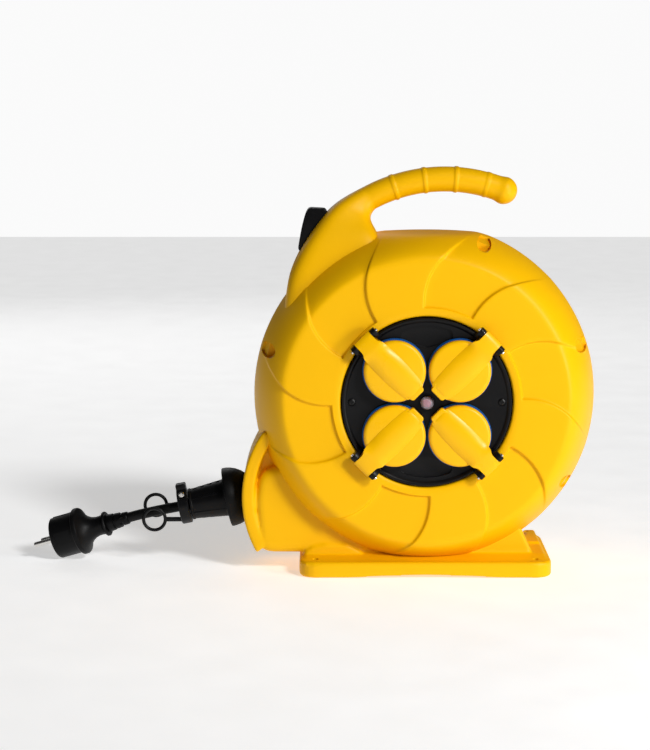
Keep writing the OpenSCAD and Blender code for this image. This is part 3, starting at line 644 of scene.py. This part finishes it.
def between(a, b, c, d, t):
    """Catmull-Rom from b to c."""
    return ((b * 2) + (c - a) * t + (a * 2 - b * 5 + c * 4 - d) * t * t
            + (b * 3 - a - c * 3 + d) * t * t * t) * 0.5


def section(outer, inner, half_depth, power, count=48):
    """A rounded section whose sides get flatter as power goes up from 2."""
    centre = (outer + inner) / 2
    reach = (outer - inner) / 2
    row = []
    for k in range(count):
        a = 2 * math.pi * k / count
        u = math.copysign(abs(math.cos(a)) ** (2 / power), math.cos(a))
        v = math.copysign(abs(math.sin(a)) ** (2 / power), math.sin(a))
        row.append(centre + reach * u + Vector((0, half_depth * v, 0)))
    return row


def root_sections():
    """From inside the housing up to the start of the round grip."""
    keys = [((-123, 222), (-20, 215), 37.5, 7), ((-121, 238), (-25, 240), 37.5, 7),
            ((-117.5, 257), (-30, 262), 37, 6.5), ((-109.5, 276), (-36, 280), 34.5, 6),
            ((-97.5, 295.5), (-41.5, 293), 29.5, 5), ((-83.5, 313), (-46, 301.5), 21.5, 4),
            ((-70, 323.6), (-47, 307.3), 15.2, 3)]
    keys = [(Vector((o[0], 0, o[1])), Vector((i[0], 0, i[1])), d, n) for o, i, d, n in keys]
    keys += [(on_grip(a, GRIP_R), on_grip(a, -GRIP_R), GRIP_R, 2.05) for a in (118, 114)]
    rows = []
    for k in range(len(keys) - 2):
        near = [keys[max(k - 1, 0)], keys[k], keys[k + 1], keys[k + 2]]
        for s in range(4):
            rows.append(section(*[between(*[key[j] for key in near], s / 4) for j in range(4)]))
    return rows


def grip_sections():
    """The round grip with its raised rings, down to the ball end."""
    marks = []
    angle = 118.0
    while angle > 71.3:
        if min(abs(angle - ring) for ring in GRIP_RINGS) > 1.6:
            marks.append((angle, 0.0))
        angle -= 1.1
    for ring in GRIP_RINGS:
        height = 0.4 if ring == GRIP_RINGS[0] else 0.7
        for d, h in ((-1.3, 0), (-0.8, 0), (-0.55, 1), (0, 1), (0.55, 1), (0.8, 0), (1.3, 0)):
            marks.append((ring + d, h * height))
    marks += [(70.6, 0.1), (70.0, 0.4), (69.3, 0.75)]
    rows = [section(on_grip(a, GRIP_R + h), on_grip(a, -GRIP_R - h), GRIP_R + h, 2) for a,
            h in sorted(marks, reverse=True)]
    end = on_grip(68.4, 0)
    ahead = (on_grip(68.0, 0) - on_grip(68.8, 0)).normalized()
    out = (on_grip(68.4, 1) - end).normalized()
    for k in range(9):
        a = math.radians(10.5 * k)
        centre = end + ahead * BALL_END_R * math.sin(a)
        r = BALL_END_R * math.cos(a)
        rows.append(section(centre + out * r, centre - out * r, r, 2))
    return rows


def handle():
    obj = grid_mesh("handle", root_sections() + grip_sections())
    modify(obj, "SUBSURF", levels=1, render_levels=1)
    slot = [(-130, 254), (-130, 300), (-96, 306), (-80, 306), (-96, 268), (-104, 254)]
    return cut(obj, prism("lever_slot", slot, -9.6, 9.6, LEVEL))


# ---------- Base, pedestal and outlet ----------

OUTLET_CENTRE = (-60, 65)
PLATE_R = 99


def arc(centre, r, start, end, count):
    return [(centre[0] + r * math.cos(math.radians(mix(start, end, k / count))),
             centre[1] + r * math.sin(math.radians(mix(start, end, k / count)))) for k in range(count + 1)]


def base_outline(inset, corner):
    x = 109 - inset
    y = 64 - inset
    return rounded([(-x, -y), (x, -y), (x, y), (-x, y)], corner, steps=6)


def fixing_places():
    return [Vector((x, y, 0)) for x in (-95, 95) for y in (-52, 52)]


def upright(name, at, low, high, radius):
    return rod(name, at + Vector((0, 0, low)), at + Vector((0, 0, high)), radius)


def base_moulding():
    """Base, pedestal and outlet in one, melted together so that the edges between them are filleted."""
    flat = Matrix.Identity(4)
    slab = prism("slab", base_outline(0, 18), 0, 14, flat, bevel=2.2)
    wedge = prism("wedge", [(-62, 11), (62, 11), (62, 13.2), (37.5, 16.4), (-37.5, 16.4), (-62, 13.2)],
                  -104.4, 104.4, turn(90, "Z") @ turn(90, "X"), bevel=1)
    pedestal = prism("pedestal", [(-62, 10), (-62, 30), (40, 30), (83, 39.5), (95, 13)], -35.9, 35.9,
                     LEVEL, bevel=2)
    mound = prism("mound", [(-106, 13), (-104.2, 18.5), (-98, 22.6), (-86, 25.1), (-68, 24.3),
                            (-56, 19), (-50, 13.5)], -39.9, 39.9, LEVEL, bevel=2)
    strip = block("strip", (93, 4, 12), (104, 60, 18.4), flat, bevel=1.5)
    box_outline = rounded([(-143, 16.6), (-145.5, 34), (-147.5, 62), (-143, 91), (-100, 96), (-60, 100),
                           (-40, 60), (-44, 16.6)], [13, 5, 5, 16, 0, 0, 0, 0], steps=5)
    box = prism("box", box_outline, -SIDE_F, SIDE_F, LEVEL, bevel=7, segments=4)
    plate_outline = arc(OUTLET_CENTRE, PLATE_R, 143.2, 209.6, 24) + arc(OUTLET_CENTRE, PLATE_R - 11,
                                                                        208, 143.2, 24)
    plate = prism("plate", plate_outline, -SIDE_F, SIDE_F, LEVEL, bevel=2.2)
    web = prism("web", [(-152, 30), (-152, 96), (-140, 110), (-118, 112), (-110, 30)], -24, 24, LEVEL, bevel=4)
    solid = unite(slab, wedge, strip, pedestal, mound, box, plate, web)
    pocket = prism("pocket", base_outline(3, 15), -4, 9, flat)
    cut(pocket, *[upright("boss", at, -9, 20, 8) for at in fixing_places()])
    tunnel = rod("tunnel", (0, 0, -45), (0, 0, 20), 24, sides=48, matrix=OUTLET)
    arch_outline = [(-78, -1), (-66, 0.3), (-38, 1.9), (0, 2.8), (38, 1.9), (66, 0.3), (78, -1)]
    arch = prism("arch", arch_outline, -70, 70, LEVEL)
    cut(solid, pocket, tunnel, arch)
    modify(solid, "REMESH", mode="VOXEL", voxel_size=1.15, adaptivity=0.0)
    modify(solid, "SMOOTH", factor=0.5, iterations=6)
    cut(solid, lathe("barrel", barrel_outline(1.2), steps=72))
    return cut(solid, *[upright("screw_hole", at, -5, 25, 2.75) for at in fixing_places()])


def shells():
    whole_handle = handle()
    whole_base = base_moulding()
    for side, name, lip in ((-1, "front", FRONT_LIP), (1, "rear", REAR_LIP)):
        half_handle = keep_half(twin(whole_handle, "half_handle"), (0, side, 0))
        half_base = keep_half(twin(whole_base, "half_base"), (0, side, 0))
        shell = join(name + "_moulding", dish(name + "_dish", side, lip), half_handle, half_base)
        place(smooth(shell, 40), "housing", YELLOW, "housing_yellow", name + "_shell")
    discard(whole_handle, whole_base)


# ---------- Lids ----------

def lid_height(r):
    """Height of the lid's slightly domed disc at distance r from its middle."""
    return 74.1 - 1.1 * ease(8, 25, r)


def lid_disc():
    profile = [(0, lid_height(0))] + [(r, lid_height(r)) for r in (6, 12, 16, 20, 23)]
    profile += [(24.6, 72.8), (25.8, 71.9), (26.3, 70.8), (26.4, 69.5), (26.4, 66.1), (26.1, 65.5),
                (25.7, 65.4), (24.45, 65.4), (24.45, 68.05), (21.4, 68.05), (21.4, 71.5), (0, 71.5)]
    return lathe("lid_disc", profile, shift(PITCH, 0, 0), steps=96, angle=50)


# Along the raised band, from the middle of the lid: distance, half width, height in the middle
BAND = [(-25.2, 8.4, 74.1), (-24.4, 9.3, 74.6), (-22, 9.8, 75.1), (-18, 10.5, 75.6), (-12, 11.1, 76.15),
        (-5, 11.6, 76.55), (2, 11.8, 76.75), (9, 11.8, 76.85), (15, 11.6, 76.85), (20, 11.4, 76.8),
        (23.5, 11.2, 76.75), (25.5, 10.9, 76.65), (27.5, 10.0, 76.5), (29, 8.9, 76.35),
        (30.2, 8.4, 76.2), (33.5, 8.25, 75.8), (36.8, 8.25, 75.2), (39, 8.25, 74.4), (40.6, 8.25, 73.0),
        (41.05, 8.25, 71)]
# Back along its underside to the start: distance, half width, height
BAND_BACK = [(40.6, 8.25, 69.0), (39, 8.25, 67.5), (36.8, 8.25, 66.8), (33, 8.25, 67.3),
             (30.2, 8.3, 67.9), (27.5, 9.0, 68.5), (25, 9.2, 69), (23.5, 9, 71.8), (0, 9, 72.2),
             (-24, 8, 72.2)]


def lid_band():
    """The domed band across a lid, with the arm that goes on to the hinge."""
    rows = []
    for v in (-1, -0.985, -0.94, -0.8, -0.6, -0.35, 0, 0.35, 0.6, 0.8, 0.94, 0.985, 1):
        row = []
        for x, half_width, top in BAND:
            on_disc = lid_height(math.hypot(x, half_width)) + 0.3
            edge = mix(on_disc, top - 0.35, ease(20, 27, x))
            height = edge + (top - edge) * (1 - abs(v) ** 2.5)
            if abs(v) == 1:
                height -= 0.45
            row.append((PITCH + x, half_width * v, height))
        row += [(PITCH + x, half_width * v, f) for x, half_width, f in BAND_BACK]
        rows.append(row)
    return grid_mesh("lid_band", rows)


def lid():
    tab = prism("lid_tab", [(-28.6, -5.6), (-27.6, -6.9), (-22, -8.0), (-22, 8.0), (-27.6, 6.9), (-28.6, 5.6)],
                67.2, 74.3, shift(PITCH, 0, 0), bevel=0.8)
    band = lid_band()
    bore = rod("hinge_bore", (HINGE_AT, -15, HINGE_F), (HINGE_AT, 15, HINGE_F), 1.65)
    cut(band, bore)
    return join("lid", lid_disc(), smooth(band, 28), tab)


def lids():
    pattern = lid()
    for corner, angle in LIDS.items():
        place(twin(pattern, "lid_cover_" + corner, at_lid(angle)), "lid_" + corner, YELLOW_LID, "lid_yellow",
              "lid_" + corner)
    discard(pattern)


# ---------- Socket panel ----------

def finger_recess(sign):
    outline = [(-21.5, 53), (-22.3, 57), (-20.5, 61.5), (-10, 64.3), (0, 65.2), (10, 64.3),
               (20.5, 61.5), (22.3, 57), (21.5, 53), (11, 50), (0, 46.5), (-11, 50)]
    return prism("recess", rounded([(x, sign * y) for x, y in outline], 2), 58.7, 64, bevel=0.6)


def panel():
    profile = [(0, 57.5), (69.5, 57.5), (69.5, 46), (PANEL_R, 46), (PANEL_R, 61.6), (72.2, 62.3),
               (71.5, 62.8), (70.4, 62.8), (69.7, 62.4), (68.4, 61.15), (67.6, 61), (0, 61)]
    plate = lathe("panel_plate", profile, steps=128, angle=30)
    cut(plate, *[rod("socket_hole", (PITCH, 0, 50), (PITCH, 0, 70), SOCKET_HOLE_R, sides=64, matrix=at_lid(a))
                 for a in LIDS.values()])
    cut(plate, rod("neck_hole", (0, 0, 50), (0, 0, 70), 5.5, matrix=FORWARD), finger_recess(1),
        finger_recess(-1))
    cut(plate, *[rod("screw_sink", (x, 0, 59.2), (x, 0, 66), 3.4, matrix=FORWARD) for x in (-64, 64)])
    ring = lathe("button_ring", [(5.7, 60.8), (7.6, 60.8), (7.6, 61.3), (7.2, 61.6), (6.2, 61.6),
                                 (5.7, 61.3)], steps=64)
    return place(smooth(join("panel_face", plate, ring), 30), "drum", BLACK, "black_plastic", "socket_panel")


def ears():
    """Two lugs at each lid that hold its hinge pin."""
    outline = rounded([(HINGE_AT - 8, 60.9), (HINGE_AT - 5, 60.9), (HINGE_AT - 3.5, 64.5),
                       (HINGE_AT + 2.8, 64.9), (HINGE_AT + 3.7, 71), (HINGE_AT + 2.2, 74.4),
                       (HINGE_AT - 1, 75), (HINGE_AT - 5.5, 72.4), (HINGE_AT - 8, 66)],
                      [0, 0, 0, 1.5, 3, 2, 2, 3, 3])
    edgewise = turn(90, "X")
    pair = []
    for start in (-13.4, 8.6):
        ear = prism("ear", outline, start, start + 4.8, edgewise, bevel=0.7)
        pair.append(ear)
    pattern = join("ears", *pair)
    cut(pattern, rod("pin_hole", (HINGE_AT, -20, HINGE_F), (HINGE_AT, 20, HINGE_F), 1.62))
    pieces = [twin(pattern, "ears", at_lid(a)) for a in LIDS.values()]
    discard(pattern)
    place(smooth(join("hinge_lugs", *pieces), 35), "drum", BLACK, "black_plastic", "hinge_ears")


def sockets():
    """Blue inserts with a well, two pin holes and a rim that shows round the lid."""
    profile = [(0, 43), (25, 43), (25, 61), (27.2, 61.05), (27.5, 61.5), (27.5, 64.3), (27.1, 64.9), (26.5, 65),
               (21.2, 65), (20.7, 64.8), (WELL_R, 64.3), (WELL_R, 48.2), (20, 47.5), (0, 47.5)]
    pattern = lathe("socket", profile, shift(PITCH, 0, 0), steps=96, angle=30)
    for side in (-1, 1):
        cut(pattern, rod("pin_hole", (PITCH, side * PIN_SPACING / 2, 40),
                         (PITCH, side * PIN_SPACING / 2, 60), 2.5))
    ribs = [block("rib", (PITCH - 2.2, side * 20.4 - 1.3, 47.4), (PITCH + 2.2, side * 20.4 + 1.3, 63.5),
                  shift(0, 0, 0), 0.4) for side in (-1, 1)]
    pattern = join("socket", pattern, *ribs)
    for corner, angle in LIDS.items():
        place(twin(pattern, "socket_insert_" + corner, at_lid(angle)), "drum", BLUE, "socket_blue",
              "socket_" + corner)
    discard(pattern)


def cut_out():
    dome = [(5.7 * math.cos(math.radians(a)), 64.8 + 3.5 * math.sin(math.radians(a))) for a in range(0, 91, 10)]
    inner = [(4.8 * math.cos(math.radians(a)), 64.8 + 2.6 * math.sin(math.radians(a)))
             for a in range(90, -1, -10)]
    boot = lathe("soft_dome", [(5.7, 61)] + dome + inner + [(4.8, 61)], steps=64)
    place(boot, "drum", CLEAR, "clear_boot", "button_boot")
    cap = lathe("reset_cap", [(0, 46), (3.7, 46), (3.7, 64.6), (3.3, 65.3), (2.4, 65.6), (0, 65.7)], steps=48)
    place(cap, "reset_button", RED, "red_button", "reset_button")


def screw_head(name, r, low, height, matrix):
    """A pan head with a cross recess, looking along local Z."""
    head = lathe(name, [(0, low), (r, low), (r, low + height * 0.45), (r * 0.8, low + height * 0.85),
                        (r * 0.45, low + height), (0, low + height)], Matrix.Identity(4), steps=40)
    for wide, deep in ((r * 0.62, r * 0.13), (r * 0.13, r * 0.62)):
        cut(head, block("cross", (-wide, -deep, low + height * 0.4), (wide, deep, low + height * 2),
                        shift(0, 0, 0)))
    return settle(smooth(head), matrix)


def screws():
    heads = [join("screw", screw_head("head", 3.3, 59.2, 1.6, FORWARD @ shift(x, 0, 0)),
                  rod("shank", (x, 0, 49.5), (x, 0, 59.3), 1.5, matrix=FORWARD)) for x in (-64, 64)]
    place(join("panel_screw_heads", *heads), "drum", DARK_STEEL, "black_steel", "panel_screws")
    heads = []
    for angle in RIM_SCREWS:
        at = FORWARD @ turn(angle, "Z") @ shift(RIM_SCREW_AT, 0, 0)
        heads.append(join("screw", screw_head("head", 4.4, 12, 2.6, at @ turn(180, "X")),
                          rod("shank", (0, 0, -12.1), (0, 0, 12), 2, matrix=at)))
    place(join("rim_screw_heads", *heads), "housing", ZINC, "zinc_steel", "housing_screws")


# ---------- Brake lever ----------

def brake_lever():
    outline = [(-110.5, 278.5), (-107.2, 297.5), (-103.8, 310.0), (-101, 315), (-86, 314.2),
               (-84, 307.5), (-99, 285.5), (-100, 277.5), (-106, 276)]
    thumb = prism("thumb", rounded(outline, [3, 6, 4, 2.5, 2.5, 3, 4, 3, 3]), -9, 9, LEVEL, bevel=1.0)
    arm = prism("arm", [(-105, 279), (-100.5, 283.5), (-84.5, 249.5), (-88.5, 245)], -4, 4, LEVEL)
    shoe = block("shoe", (128.4, -6, -4), (131.4, 6, 42), FORWARD @ turn(133, "Z"), 0.5)
    for k in range(4):
        x, z = -110.2 + 1.15 * k, 282 + 5.4 * k
        cut(thumb, rod("groove", (x - 0.55, -6.6, z), (x - 0.55, 6.6, z), 0.9, sides=16))
    lever = join("brake_thumb_lever", thumb, arm, shoe)
    place(smooth(lever, 35), "brake_lever", BLACK, "black_plastic", "brake_lever")


# ---------- Outlet, clamp and plug ----------

def stop_ball():
    half = [(26 * math.cos(math.radians(a)), 26 * math.sin(math.radians(a)))
            for a in (-79, -65, -50, -36, -24, -14, -6, -1.5)]
    profile = [(4.7, -25.4)] + half + [(26, 0.6), (25.6, 1.3), (24.8, 1.5), (18, 1.5), (17, 0.9), (4.7, 0.9)]
    ball = lathe("ball_stop", profile, Matrix.Identity(4), steps=96, angle=40)
    for k in range(12):
        cut(ball, block("notch", (22.5, -2.6, -1.6), (25.1, 2.6, 3), turn(30 * k, "Z"), 0.3))
    place(settle(smooth(ball, 35), OUTLET), "housing", RUBBER, "black_rubber", "stop_ball")


def sleeve():
    profile = [(4.7, 1.5), (16.9, 1.5), (17.0, 2.6), (16.4, 3.2), (13.4, 31.5), (13.9, 32.2),
               (13.9, 33.6), (13.4, 34), (4.7, 34)]
    body = lathe("sleeve", profile, Matrix.Identity(4), steps=80, angle=35)
    for side in (0, 180):
        for k in range(4):
            z = 5 + 7 * k
            r = mix(16.4, 13.4, z / 31)
            cut(body, block("slot", (r - 3.4, -4.4, z), (r + 2, 4.4, z + 3.6), turn(side, "Z"), 0.4))
    for angle in (62, 118, 242, 298):
        rib = block("rib", (12.2, -1, 3), (16.6, 1, 31.5), turn(angle, "Z"), 0.4)
        for vertex in rib.data.vertices:
            if vertex.co.z > 15:
                reach = Vector((vertex.co.x, vertex.co.y))
                reach *= (reach.length - 2.6) / reach.length
                vertex.co.x, vertex.co.y = reach
        body = join("sleeve", body, rib)
    place(settle(smooth(body, 35), OUTLET), "housing", RUBBER, "black_rubber", "cord_sleeve")


def clamps():
    """The split clamp on the cord, each half with its pull ring."""
    ring = lathe("band", [(4.7, 35), (15.2, 35), (16, 35.8), (16, 43.2), (15.2, 44), (4.7, 44)],
                 Matrix.Identity(4), steps=80)
    lug = block("lug", (12, -5, 35), (20, 5, 44), Matrix.Identity(4), 1.2)
    whole = unite(ring, lug)
    cut(whole, rod("screw_way", (11, -20, 39.5), (11, 20, 39.5), 1.6),
        rod("screw_sink", (11, -9, 39.5), (11, -20, 39.5), 3.1))
    settle(whole, OUTLET)
    pieces = []
    for side, name, ring_y, ring_z in ((-1, "front", -8, 41), (1, "back", 11.5, 50)):
        half = keep_half(twin(whole, "half"), (0, side, 0), gap=0.1)
        deselect()
        bpy.ops.mesh.primitive_torus_add(major_radius=9.6, minor_radius=1.5, major_segments=64,
                                         minor_segments=16)
        loop = settle(bpy.context.object, shift(-237, ring_y, ring_z) @ turn(90, "X"))
        arm = block("arm", (-227.6, ring_y - 1.2, ring_z - 2), (-212, ring_y + 1.2, ring_z + 2),
                    Matrix.Identity(4), 0.8)
        piece = smooth(join("cord_clamp_" + name, half, loop, arm), 35)
        pieces.append(place(piece, "housing", BLACK, "black_plastic", "clamp_" + name))
    discard(whole)
    along = OUTLET @ shift(11, 0, 39.5) @ turn(90, "X")
    screw = join("clamp_screw_head", screw_head("head", 3, 9, 2, along),
                 rod("shank", (0, 0, -9), (0, 0, 9.1), 1.5, matrix=along))
    pieces.append(place(screw, "housing", NICKEL, "nickel_steel", "clamp_screw"))
    return pieces


def plug():
    relief = [(0, 0), (5.2, 0), (5.6, 0.5), (5.9, 4.6), (5.4, 5.0), (5.0, 5.2), (5.0, 6.8), (6.6, 7.0),
              (7.0, 11.2), (6.6, 11.6), (5.8, 11.8), (5.8, 13.2), (7.4, 13.4), (7.9, 18.6), (7.4, 20.2),
              (0, 20.2)]
    boot = lathe("relief", relief, Matrix.Identity(4), steps=64)
    links = [block("link", (-2.2, side * 5.6 - 1, 3), (2.2, side * 5.6 + 1, 16), Matrix.Identity(4),
                   0.5) for side in (-1, 1)]
    boot = smooth(join("cord_relief", boot, *links), 35)
    body = [(0, 20), (10.4, 20), (11, 20.6), (11, 22), (10.4, 22.6), (9.0, 23.6), (8.5, 26.5),
            (8.6, 30), (9.6, 34), (11.6, 37.5), (14.6, 40.6), (18.2, 42.7), (20.4, 43.8), (21, 44.8),
            (21, 47.4), (20.5, 48), (19.0, 48.4), (18.75, 49), (18.75, 69), (18.1, 69.8), (17.4, 70),
            (0, 70)]
    shell = lathe("plug_shell", body, Matrix.Identity(4), steps=96)
    for side in (0, 180):
        cut(shell, block("earth_way", (16.2, -3.6, 54), (20, 3.6, 72), turn(side, "Z"), 0.5))
        cut(shell, block("grip_recess", (17.9, -9, 51), (20, 9, 66), turn(side + 90, "Z"), 0.6))
    strips = [block("strip", (15.6, -2.4, 53), (16.6, 2.4, 69.9), turn(side, "Z"), 0.3) for side in (0, 180)]
    pins = [lathe("pin", [(0, 69), (2.4, 69), (2.4, 86.6), (2.1, 88.2), (1.3, 88.9), (0, 89)],
                  shift(0, side * PIN_SPACING / 2, 0), steps=32) for side in (-1, 1)]
    parts = [place(settle(boot, PLUG), "housing", RUBBER, "black_rubber", "plug_relief"),
             place(settle(smooth(shell, 32), PLUG), "housing", RUBBER, "black_rubber", "plug_body"),
             place(settle(join("plug_contacts", *pins, *strips), PLUG), "housing", NICKEL,
                   "nickel_steel", "plug_pins")]
    return parts


# ---------- Crank, bearing and drum ----------

def crank():
    outline = arc((0, 0), 18, 75, 285, 24) + arc((CRANK_LEN, 0), 12, -80, 80, 16)
    arm = prism("crank_arm_bar", outline, -77.5, -67.5, CRANK, bevel=2.2)
    inset = rounded([(20, -9.5), (70, -6.5), (70, 6.5), (20, 9.5)], 3)
    cut(arm, prism("inset", inset, -80, -75.4, CRANK, bevel=0.5))
    cut(arm, rod("shaft_way", (0, 0, -76.4), (0, 0, -60), 12, sides=48, matrix=CRANK),
        rod("pin_way", (CRANK_LEN, 0, -80), (CRANK_LEN, 0, -60), 4, matrix=CRANK))
    place(smooth(arm, 35), "drum", BLACK, "black_plastic", "crank_arm")
    head = screw_head("crank_screw_head", 6, 77.5, 3, FORWARD @ turn(180, "X"))
    stub = rod("stub", (0, 0, -77.6), (0, 0, -76.5), 2.5, matrix=FORWARD)
    place(join("crank_screw_head", head, stub), "drum", ZINC, "zinc_steel", "crank_screw")
    profile = [(4.05, -77.9), (9.5, -77.9), (11.6, -78.6), (12.1, -80.4), (11.2, -83), (10.3, -88),
               (10.2, -93), (11, -100), (12.4, -106), (13, -110), (12.6, -113.3), (11, -115.4),
               (9, -115.9), (4.05, -115.9)]
    knob = lathe("crank_grip", profile, CRANK @ shift(CRANK_LEN, 0, 0), steps=64, angle=40)
    place(knob, "crank_knob", BLACK, "black_plastic", "crank_knob")


def bearing():
    profile = [(12.05, -65), (20, -65), (21, -64.2), (21, -62.5), (16.05, -62.5), (16.05, -55.5),
               (12.05, -55.5)]
    place(lathe("bearing_bush", profile, steps=96), "housing", WHITE, "bearing_white", "rear_bearing")


def winding():
    """The turns of cord on the drum."""
    turns = 9
    width = 85.6 / turns
    profile = [(74.2, -42.8)]
    for k in range(turns):
        for a in (160, 125, 90, 55, 20):
            t = math.radians(a)
            profile.append((118.2 + CORD_D / 2 * math.sin(t), -42.8 + width * (k + 0.5 - 0.5 * math.cos(t))))
    profile.append((74.2, 42.8))
    place(lathe("cord_turns", profile, steps=64, angle=60), "drum", CORD, "cord_rubber", "wound_cord")


# ---------- Carried-over nodes ----------

FINISHES = {"zinc_steel": ZINC, "black_steel": DARK_STEEL, "nickel_steel": NICKEL,
            "contact_brass": BRASS, "black_plastic": BLACK, "drum_black": DRUM, "black_rubber": RUBBER,
            "cord_rubber": CORD, "socket_blue": BLUE, "lid_yellow": YELLOW_LID,
            "housing_yellow": YELLOW, "bearing_white": WHITE, "red_button": RED, "clear_boot": CLEAR}
ROUNDED_NODES = {"lid_pins": 0.3, "knob_pin": 0.6, "lever_pin": 0.3, "earth_clips": 0.3}


def finish_nodes():
    for entry in frame["record"]["subparts"]:
        obj = nodes[entry["node"]]
        obj.data.materials.clear()
        obj.data.materials.append(FINISHES[entry["material_slot"]])
    for name, width in ROUNDED_NODES.items():
        weld = nodes[name].modifiers.new("weld", "WELD")
        weld.merge_threshold = 0.00001
        bevel = nodes[name].modifiers.new("edges", "BEVEL")
        bevel.width = width * MM
        bevel.segments = 2
        bevel.angle_limit = math.radians(50)


# ---------- Build ----------

finish_nodes()
lead = cord()
shells()
lids()
panel()
ears()
sockets()
cut_out()
screws()
brake_lever()
stop_ball()
sleeve()
on_cord = clamps() + plug()
crank()
bearing()
winding()
